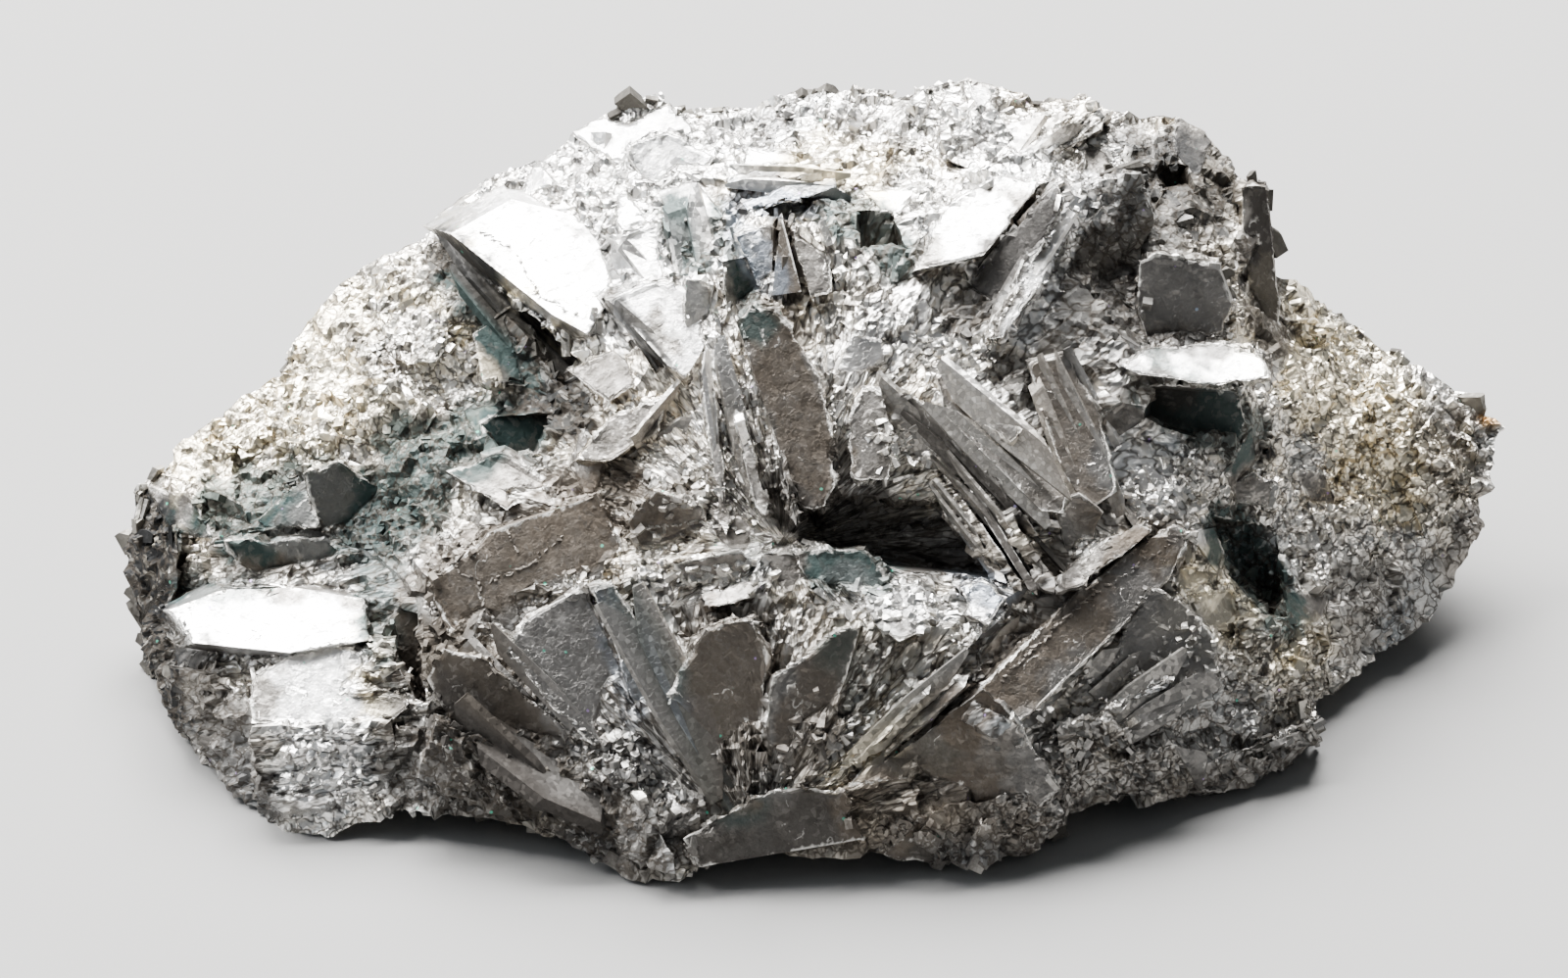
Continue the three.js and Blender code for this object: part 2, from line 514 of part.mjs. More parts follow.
function solidOf(geometry) {
  const bare = new THREE.BufferGeometry().setAttribute("position", geometry.getAttribute("position"));
  if (geometry.index) bare.setIndex(geometry.index);
  const merged = mergeVertices(bare, 1e-4);
  return new wasm.Manifold(
    new wasm.Mesh({
      numProp: 3,
      vertProperties: merged.attributes.position.array,
      triVerts: new Uint32Array(merged.index.array),
    }),
  );
}

function geometryOf(solid) {
  const { numProp, vertProperties, triVerts } = solid.getMesh();
  const places = new Float32Array((vertProperties.length / numProp) * 3);
  for (let i = 0; i < places.length / 3; i++) {
    places.set(vertProperties.subarray(i * numProp, i * numProp + 3), i * 3);
  }
  return new THREE.BufferGeometry()
    .setAttribute("position", new THREE.BufferAttribute(places, 3))
    .setIndex(new THREE.BufferAttribute(triVerts, 1));
}

const joined = (solids) => solids.reduce((whole, solid) => whole.add(solid));

// ---- the granular mass ----
function isInside(outline, [x, y]) {
  let inside = false;
  outline.forEach(([x1, y1], i) => {
    const [x2, y2] = outline[(i + 1) % outline.length];
    if (y1 > y !== y2 > y && x < x1 + ((y - y1) / (y2 - y1)) * (x2 - x1)) inside = !inside;
  });
  return inside;
}

// Triangles, anticlockwise, whose circles hold none of the other points.
function triangulated(points) {
  const far = 1000;
  const all = [...points, [-far, -far], [far, -far], [0, far]];
  const ringed = (a, b, c) => {
    const [[ax, ay], [bx, by], [cx, cy]] = [all[a], all[b], all[c]];
    const d = 2 * (ax * (by - cy) + bx * (cy - ay) + cx * (ay - by));
    const [a2, b2, c2] = [ax * ax + ay * ay, bx * bx + by * by, cx * cx + cy * cy];
    const x = (a2 * (by - cy) + b2 * (cy - ay) + c2 * (ay - by)) / d;
    const y = (a2 * (cx - bx) + b2 * (ax - cx) + c2 * (bx - ax)) / d;
    return { corners: [a, b, c], x, y, reach: (ax - x) ** 2 + (ay - y) ** 2 };
  };
  let triangles = [ringed(points.length, points.length + 1, points.length + 2)];
  points.forEach(([x, y], i) => {
    const border = new Map();
    triangles = triangles.filter((t) => {
      if ((x - t.x) ** 2 + (y - t.y) ** 2 > t.reach) return true;
      const [a, b, c] = t.corners;
      for (const [from, to] of [[a, b], [b, c], [c, a]]) {
        if (!border.delete(to + "," + from)) border.set(from + "," + to, [from, to]);
      }
      return false;
    });
    for (const [from, to] of border.values()) triangles.push(ringed(from, to, i));
  });
  return triangles.map((t) => t.corners).filter((t) => Math.max(...t) < points.length);
}

// Points inside the rim, staggered and jittered so that no rows show.
function latticeInside(outline, spacing) {
  const points = [];
  const clear = spacing * 0.6;
  for (let row = -30; row <= 30; row++) {
    for (let column = -50; column <= 50; column++) {
      const seed = row * 131 + column;
      const x = (column + (row % 2) / 2 + 0.5 * random(seed)) * spacing;
      const y = (row + 0.5 * random(seed + 7000)) * spacing * 0.87;
      const nearRim = outline.some(([rx, ry]) => (rx - x) ** 2 + (ry - y) ** 2 < clear ** 2);
      if (!nearRim && isInside(outline, [x, y])) points.push([x, y]);
    }
  }
  return points;
}

function random(seed) {
  return THREE.MathUtils.seededRandom(seed + 100000);
}

// The relief that is flat between its places: its out value at any [across, up].
function reliefOf(places) {
  const triangles = triangulated(places);
  return (x, y) => {
    let best = { reach: -Infinity, out: 0 };
    for (const corners of triangles) {
      const [[ax, ay, az], [bx, by, bz], [cx, cy, cz]] = corners.map((i) => places[i]);
      const d = (by - cy) * (ax - cx) + (cx - bx) * (ay - cy);
      const u = ((by - cy) * (x - cx) + (cx - bx) * (y - cy)) / d;
      const v = ((cy - ay) * (x - cx) + (ax - cx) * (y - cy)) / d;
      const reach = Math.min(u, v, 1 - u - v);
      if (reach > best.reach) best = { reach, out: u * az + v * bz + (1 - u - v) * cz };
    }
    return best.out;
  };
}

// The rim with more places along its long edges.
function finerRim() {
  return RIM.flatMap((place, i) => {
    const next = RIM[(i + 1) % RIM.length];
    const steps = Math.ceil(Math.hypot(next[0] - place[0], next[1] - place[1]) / RIM_STEP);
    return Array.from({ length: steps }, (_, k) => place.map((v, n) => v + ((next[n] - v) * k) / steps));
  });
}

const frontOut = reliefOf([...FRONT, ...RIM]);
const backOut = reliefOf([...BACK, ...RIM]);
const noise = new SimplexNoise({ random: () => 0.5 });

// One side of the mass: rim, points inside it and the triangles between them.
function sheet(rim, spacing, outAt) {
  const outline = rim.map(([x, y]) => [x, y]);
  const inner = latticeInside(outline, spacing);
  const middleOf = (flat, corners) => [0, 1].map((k) => corners.reduce((sum, i) => sum + flat[i][k] / 3, 0));
  let triangles = [];
  for (let pass = 0; pass < 4; pass++) {
    const flat = [...outline, ...inner];
    triangles = triangulated(flat).filter((corners) => isInside(outline, middleOf(flat, corners)));
    const ears = triangles.filter((corners) => Math.max(...corners) < rim.length);
    if (ears.length === 0) break;
    inner.push(...ears.map((corners) => middleOf(flat, corners)));
  }
  const rough = ([x, y, out]) => [
    x + ROUGHNESS * noise.noise3d(x, y, out),
    y + ROUGHNESS * noise.noise3d(x + 50, y, out),
    out + ROUGHNESS * noise.noise3d(x, y + 50, out),
  ];
  return { inner: inner.map(([x, y]) => rough([x, y, outAt(x, y)])), triangles };
}

function massGeometry() {
  const rim = finerRim();
  const front = sheet(rim, GRAIN, frontOut);
  const back = sheet(rim, BACK_GRAIN, backOut);
  const points = [...rim, ...front.inner, ...back.inner];
  const behind = (i) => (i < rim.length ? i : i + front.inner.length);
  const faces = [
    ...front.triangles.flat(),
    ...back.triangles.flatMap(([a, b, c]) => [behind(a), behind(c), behind(b)]),
  ];
  return new THREE.BufferGeometry()
    .setAttribute("position", new THREE.Float32BufferAttribute(points.flat(), 3))
    .setIndex(faces);
}

// ---- crystals and hollows ----
const slope = (degrees) => Math.tan(THREE.MathUtils.degToRad(degrees));

// A block behind a flat face: its sides flare outwards as they go in. Facing 1 looks out of the
// show side, -1 out of the back, where the face leans from the lie of the mass.
function crystal({ face, proud, lean, deep = 3, flare = 0.08 }, facing = 1) {
  const cx = face.reduce((sum, [x]) => sum + x, 0) / face.length;
  const cy = face.reduce((sum, [, y]) => sum + y, 0) / face.length;
  const surface = facing > 0 ? frontOut : backOut;
  const middle = surface(cx, cy) + facing * proud;
  const fall = [slope(lean[0]), slope(lean[1])];
  if (facing < 0) {
    fall[0] += (surface(cx - 2, cy) - surface(cx + 2, cy)) / 4;
    fall[1] += (surface(cx, cy - 2) - surface(cx, cy + 2)) / 4;
  }
  const onFace = (x, y) => middle - (x - cx) * fall[0] - (y - cy) * fall[1];
  const points = face.map(([x, y]) => new THREE.Vector3(x, y, onFace(x, y)));
  for (const [x, y] of face) {
    const away = new THREE.Vector2(x - cx, y - cy).setLength(Math.abs(flare * deep));
    away.multiplyScalar(Math.sign(flare));
    points.push(new THREE.Vector3(x + away.x, y + away.y, onFace(x, y) - facing * deep));
  }
  return solidOf(new ConvexGeometry(points));
}

function blade({ from, to, width, proud, lean }) {
  const along = new THREE.Vector2(to[0] - from[0], to[1] - from[1]).normalize();
  const side = [(-along.y * width) / 2, (along.x * width) / 2];
  const tip = [along.x * width, along.y * width];
  const face = [
    [from[0] - tip[0], from[1] - tip[1]],
    [from[0] + side[0], from[1] + side[1]],
    [to[0] + side[0], to[1] + side[1]],
    [to[0] + tip[0], to[1] + tip[1]],
    [to[0] - side[0], to[1] - side[1]],
    [from[0] - side[0], from[1] - side[1]],
  ];
  return crystal({ face, proud, lean, deep: 2.6, flare: 0.12 });
}

// A hollow narrows as it goes in.
function hollow({ face, deep }) {
  return crystal({ face, proud: MOUTH, lean: [0, 0], deep: deep + MOUTH, flare: -0.15 });
}

// ---- the whole ----
const hollowed = solidOf(massGeometry()).subtract(joined(HOLLOWS.map(hollow)));
const cluster = hollowed.add(
  joined([
    ...CRYSTALS.map((c) => crystal(c)),
    ...BACK_CRYSTALS.map((c) => crystal(c, -1)),
    ...BLADES.map(blade),
  ]),
);
const standing = geometryOf(cluster).applyMatrix4(standUp);
const ground = new THREE.BoxGeometry(200, 200, 40).translate(0, 0, -20);
const shells = solidOf(standing).subtract(solidOf(ground)).decompose();
shells.sort((a, b) => b.volume() - a.volume());
const whole = geometryOf(shells[0]); // without the pockets closed in between crystals
whole.computeBoundingBox();
const middle = whole.boundingBox.getCenter(new THREE.Vector3());
whole.translate(-middle.x, -middle.y, 0);

const metal = new THREE.MeshStandardMaterial({ color: 0xb9b3a6, roughness: 0.35, metalness: 1 });
const mesh = new THREE.Mesh(whole, metal);
mesh.name = "pyrite_cluster";

const part = new THREE.Group();
part.add(mesh);
export default part;
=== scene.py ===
"""A pyrite cluster: a pale granular mass of metal, broken open to show fans of tabular crystals.

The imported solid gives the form. Here its faces are cut finer, the granular ground is broken into
small facets, and loose blades, chips and flakes are strewn where it is broken open. Shapes are made
in millimetres and put into metres at the end.
"""
import math
import random

import bmesh
import bpy
import numpy as np
from mathutils import Euler, Matrix, Vector, kdtree, noise
from mathutils.bvhtree import BVHTree


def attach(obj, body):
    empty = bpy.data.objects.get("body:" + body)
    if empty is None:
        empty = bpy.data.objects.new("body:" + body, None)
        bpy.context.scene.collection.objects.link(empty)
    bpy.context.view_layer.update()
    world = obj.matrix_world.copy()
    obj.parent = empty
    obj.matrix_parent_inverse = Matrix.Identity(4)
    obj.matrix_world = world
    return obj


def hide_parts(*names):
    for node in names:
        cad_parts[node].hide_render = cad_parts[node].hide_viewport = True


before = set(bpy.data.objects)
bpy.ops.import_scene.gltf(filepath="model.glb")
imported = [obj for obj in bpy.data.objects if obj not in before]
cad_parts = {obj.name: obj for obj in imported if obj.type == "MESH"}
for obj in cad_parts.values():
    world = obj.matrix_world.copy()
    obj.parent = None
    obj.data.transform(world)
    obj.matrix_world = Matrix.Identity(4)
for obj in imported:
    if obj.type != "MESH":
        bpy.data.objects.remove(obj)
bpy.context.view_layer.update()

# ---- the show face, on which places are given as [across, up, out] in millimetres ----
MM = 0.001
SHOW_TILT = math.radians(35)
WELL_OUT = 40  # further out than anything on the show face
LAYOUT_CENTRE = Vector((0.05, -2.81, 11.8))
ACROSS = Vector((1, 0, 0))
UP = Vector((0, math.sin(SHOW_TILT), math.cos(SHOW_TILT)))
OUT = Vector((0, -math.cos(SHOW_TILT), math.sin(SHOW_TILT)))

# ---- sizes, in millimetres ----
SHOW_STEP = 0.43  # longest edge on the granular show side
FACE_STEP = 0.55  # longest edge on crystal faces
BACK_STEP = 0.92  # longest edge on the back and underneath
SHOW_FACE_AREA = 2.5  # flats larger than this are crystal faces, on the show side
BACK_FACE_AREA = 7.0  # and on the back
THREE_SIDED = 2.2  # a flat with three sides has to be so many times larger
GRAIN_ZONE_DEPTH = -10  # how far back the grain zones of the show face reach
UNDERSIDE = -0.9  # flats whose normals point further down than this rest on the ground

# Cells of the granular ground: their size, how steeply each tilts, how far each steps in or out
LUMPS = (1.9, 0.12, 0.12)
FACETS = (0.85, 0.2, 0.07)
GRAINS = (0.42, 0.16, 0.03)
MOST_MOVED = 0.5

# How open a point is to the air: by how many rays, from how far off the surface, and how long
AIR_RAYS = 9
AIR_START = 0.25
AIR_REACH = 7.0
SHARP = 0.35  # radians between the flats at a sharp edge

# Patches where the ground is crumpled in larger, calmer flats
CALM_SCALE = 0.27
CALM_SHIFT = Vector((3.1, 8.4, 1.7))
CALM_EDGES = (-0.02, 0.22)

# Crystals fan out from two roots on the show face: blades from the upper, plates from the lower
UPPER_ROOT = (-1.5, -3.5)
LOWER_ROOT = (-3.0, -18.5)
FAN_MIDDLE = (1.0, -1.5)
FAN_REACH = (19.0, 16.5)  # how far the fans reach from their middle, across and up
FAN_BACK = -8  # how far back they go
PLATES_MIDDLE = (-5.0, -10.5)
PLATES_REACH = (15.0, 8.0)

# Layers lie nearly level in the lower left foot
LAYERS_MIDDLE = (-27.0, -10.0)
LAYERS_REACH = (8.5, 7.5)
LAYERS_BACK = -10
LAYERS_RISE = math.radians(9)

# Along the crystals the cells of the ground are longer, and across them shorter, by these factors
FAN_LONG, FAN_TURN, FAN_DEEP = 2.8, 13, 0.9
LAYERS_LONG, LAYERS_FINE, LAYERS_DEEP = 2.4, 1.4, 1.2
APART = 100  # keeps the cells of the fans, of the layers and of the plain ground from meeting


def on_layout(across, up, out=0.0):
    return LAYOUT_CENTRE + ACROSS * across + UP * up + OUT * out


def to_layout(points):
    """Points as [across, up, out] on the show face."""
    axes = np.array([ACROSS, UP, OUT])
    return (np.asarray(points) - np.array(LAYOUT_CENTRE)) @ axes.T


def smooth_step(value, low, high):
    t = np.clip((value - low) / (high - low), 0, 1)
    return t * t * (3 - 2 * t)


def smooth_noise(points, scale, shift=Vector()):
    """A value for each point that changes slowly from place to place, between about -1 and 1."""
    return np.array([noise.noise(Vector(p) * scale + shift) for p in points])


def in_upper_fan(across, up):
    """Whether a place belongs to the blades of the upper root, or to the plates of the lower."""
    return up > -6 - 0.15 * abs(across - LOWER_ROOT[0])


# ---- the body ----
def merged_solid(node):
    """The node's closed mesh in millimetres, with triangles that lie in one plane joined up."""
    bm = bmesh.new()
    bm.from_mesh(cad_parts[node].data)
    bmesh.ops.scale(bm, vec=Vector((1, 1, 1)) / MM, verts=bm.verts)
    bmesh.ops.remove_doubles(bm, verts=bm.verts, dist=0.002)
    bmesh.ops.dissolve_limit(bm, angle_limit=math.radians(0.7), verts=bm.verts, edges=bm.edges)
    return bm


# Ellipses on the show face where every flat is crushed to grain: [across, up] and reach
GRAIN_ZONES = [
    ((-29.0, -13.8), (6.5, 4.6)),
    ((-14.0, -16.0), (6.0, 2.6)),
    ((14.0, -16.5), (8.0, 2.4)),
    ((24.0, -12.0), (6.0, 3.6)),
    ((-24.0, 8.5), (7.0, 6.0)),
    ((31.0, 3.0), (3.6, 5.0)),
    ((4.0, 18.0), (9.0, 1.6)),
    ((16.4, 11.6), (2.9, 4.2)),
    ((19.0, 15.0), (2.0, 1.6)),
    ((3.6, -2.6), (5.0, 1.8)),
    ((-34.0, -7.0), (1.8, 5.0)),
    ((2.9, 12.4), (1.9, 1.7)),
    ((22.4, -4.4), (2.0, 2.8)),
    ((29.5, -3.4), (5.0, 3.6)),
    ((25.2, 7.6), (2.2, 3.0)),
    ((-22.0, 2.6), (2.2, 1.8)),
]


def mark_crystal_faces(bm):
    """Marks 1 on the flats that are large enough to be crystal faces, and 0 on the rest."""
    crystal = bm.faces.layers.int.new("crystal")
    for face in bm.faces:
        across, up, out = to_layout([face.calc_center_median()])[0]
        if out > GRAIN_ZONE_DEPTH and any(
            math.hypot((across - a) / wide, (up - u) / high) < 1
            for (a, u), (wide, high) in GRAIN_ZONES
        ):
            continue
        facing = face.normal.dot(OUT)
        least = SHOW_FACE_AREA if facing > 0.1 else BACK_FACE_AREA
        if len(face.verts) < 4:
            least *= THREE_SIDED
        face[crystal] = int(face.calc_area() > least and face.normal.z > UNDERSIDE)
    bmesh.ops.triangulate(bm, faces=bm.faces, ngon_method="BEAUTY")
    return crystal


def longest_edge(edge, crystal):
    faces = edge.link_faces
    if all(face[crystal] for face in faces):
        return FACE_STEP
    facing = max(face.normal.dot(OUT) for face in faces)
    return SHOW_STEP if facing > 0 else BACK_STEP


def refine(bm, crystal):
    """Halves edges until none is longer than the step for its place."""
    for _ in range(7):
        long = [e for e in bm.edges if e.calc_length() > longest_edge(e, crystal)]
        if not long:
            break
        bmesh.ops.subdivide_edges(bm, edges=long, cuts=1)
        many = [f for f in bm.faces if len(f.verts) > 3]
        bmesh.ops.triangulate(bm, faces=many, ngon_method="BEAUTY")


def within(across, up, middle, reach):
    """1 inside an ellipse on the show face, falling to 0 at its rim."""
    span = np.hypot((across - middle[0]) / reach[0], (up - middle[1]) / reach[1])
    return smooth_step(-span, -1.05, -0.85)


def fabric_places(points):
    """Points laid out along the way the crystals run: stretched along it and squeezed across it."""
    across, up, out = to_layout(points).T
    root = np.where(in_upper_fan(across, up)[:, None], UPPER_ROOT, LOWER_ROOT)
    x = across - root[:, 0]
    y = up - root[:, 1]
    turned = np.arctan2(x, y) * FAN_TURN
    fanned = np.column_stack((np.hypot(x, y) / FAN_LONG, turned, out * FAN_DEEP))
    along = across * math.cos(LAYERS_RISE) + up * math.sin(LAYERS_RISE)
    through = up * math.cos(LAYERS_RISE) - across * math.sin(LAYERS_RISE)
    layered = (along / LAYERS_LONG, through * LAYERS_FINE, out * LAYERS_DEEP)
    layered = np.column_stack(layered)
    fan = within(across, up, FAN_MIDDLE, FAN_REACH) * (out > FAN_BACK)
    layer = within(across, up, LAYERS_MIDDLE, LAYERS_REACH) * (out > LAYERS_BACK)
    places = np.array(points) + APART
    places[fan > 0.5] = fanned[fan > 0.5]
    places[layer > 0.5] = layered[layer > 0.5] - APART
    return np.maximum(fan, layer), places


def cells(points, size, tilt, step, seed):
    """How far each point moves when the ground breaks into cells that tilt and step at random."""
    rng = np.random.default_rng(seed)
    centres = {}
    for i in rng.permutation(len(points)):
        centres.setdefault(tuple(np.floor(points[i] / size).astype(int)), points[i])
    tree = kdtree.KDTree(len(centres))
    for i, centre in enumerate(centres.values()):
        tree.insert(centre, i)
    tree.balance()
    tilts = rng.normal(0, tilt, (len(centres), 3))
    steps = rng.normal(0, step, len(centres))
    found = [tree.find(p) for p in points]
    nearest = np.array([j for _, j, _ in found])
    offset = points - np.array([centre for centre, _, _ in found])
    return steps[nearest] + (offset * tilts[nearest]).sum(1)


def openness(bm, points, normals):
    """How open each point is to the air: 0 deep in a recess, 1 on a ridge."""
    tree = BVHTree.FromBMesh(bm)
    rng = np.random.default_rng(5)
    rays = rng.normal(0, 1, (AIR_RAYS, 3))
    rays /= np.linalg.norm(rays, axis=1)[:, None]
    free = np.zeros(len(points))
    for ray in rays:
        ways = normals * 1.1 + ray
        ways /= np.linalg.norm(ways, axis=1)[:, None]
        starts = points + normals * AIR_START
        for i in range(len(points)):
            hit = tree.ray_cast(starts[i], ways[i], AIR_REACH)[3]
            free[i] += 1 if hit is None else hit / AIR_REACH
    return free / len(rays)


def edge_sharpness(bm):
    """1 where a point lies on an outward edge between flats, 0 inside a flat."""
    sharp = np.zeros(len(bm.verts))
    for edge in bm.edges:
        if edge.is_convex and len(edge.link_faces) == 2 and edge.calc_face_angle() > SHARP:
            for v in edge.verts:
                sharp[v.index] = 1
    return sharp


# ---- tarnish, painted highlights and painted shade ----
# painted highlight
PAINTED_HIGHLIGHT_WHITE = (0.97, 0.96, 0.94)
# painted highlight, warm
PAINTED_HIGHLIGHT_CREAM = (0.96, 0.85, 0.62)
# painted shade, mid grey
PAINTED_SHADE_GREY = (0.22, 0.213, 0.203)
BROWN = (0.115, 0.093, 0.072)
UMBER = (0.07, 0.058, 0.046)
# painted shade, dark
PAINTED_SHADE_DULL = (0.042, 0.037, 0.033)
# painted shade, deepest
PAINTED_SHADE_BLACK = (0.02, 0.02, 0.02)
# blue-green tarnish, darkened as painted shade
BLUE_GREEN_AND_PAINTED_SHADE = (0.032, 0.057, 0.055)
BLUE_GREY = (0.3, 0.34, 0.4)
RUST = (0.6, 0.33, 0.1)

# The hidden side is painted darker all over instead, as painted shade, in dark and paler patches of
# this scale, place and softness
PAINTED_BACK_SHADE_DARK = (0.034, 0.03, 0.025)
PAINTED_BACK_SHADE_PALE = (0.18, 0.17, 0.148)
BACK_PATCH_SCALE = 0.22
BACK_PATCH_SHIFT = Vector((7, 3, 5))
BACK_PATCH_EDGES = (-0.35, 0.4)
PAINTED_BACK_SHADE_STRENGTH = 0.95
RIM = (-0.5, -0.2)  # how far faces turn away where the show side's stains and painted light fade out
BEHIND = (-14.0, -10.5)  # how far back they fade out

# Rims wander, slowly and quickly
SLOW_SCALE = 0.6
QUICK_SCALE = 2.1
QUICK_SHARE = 0.6
RIM_WANDER = 0.6  # how far the rims of stains and painted light wander
BACK_WANDER = 0.25  # and those of the back's patches
STAIN_AND_PAINTED_LIGHT_EDGES = (-1.25, -0.8)
UNPAINTED = 0.01  # weaker than this is no stain and no painted light
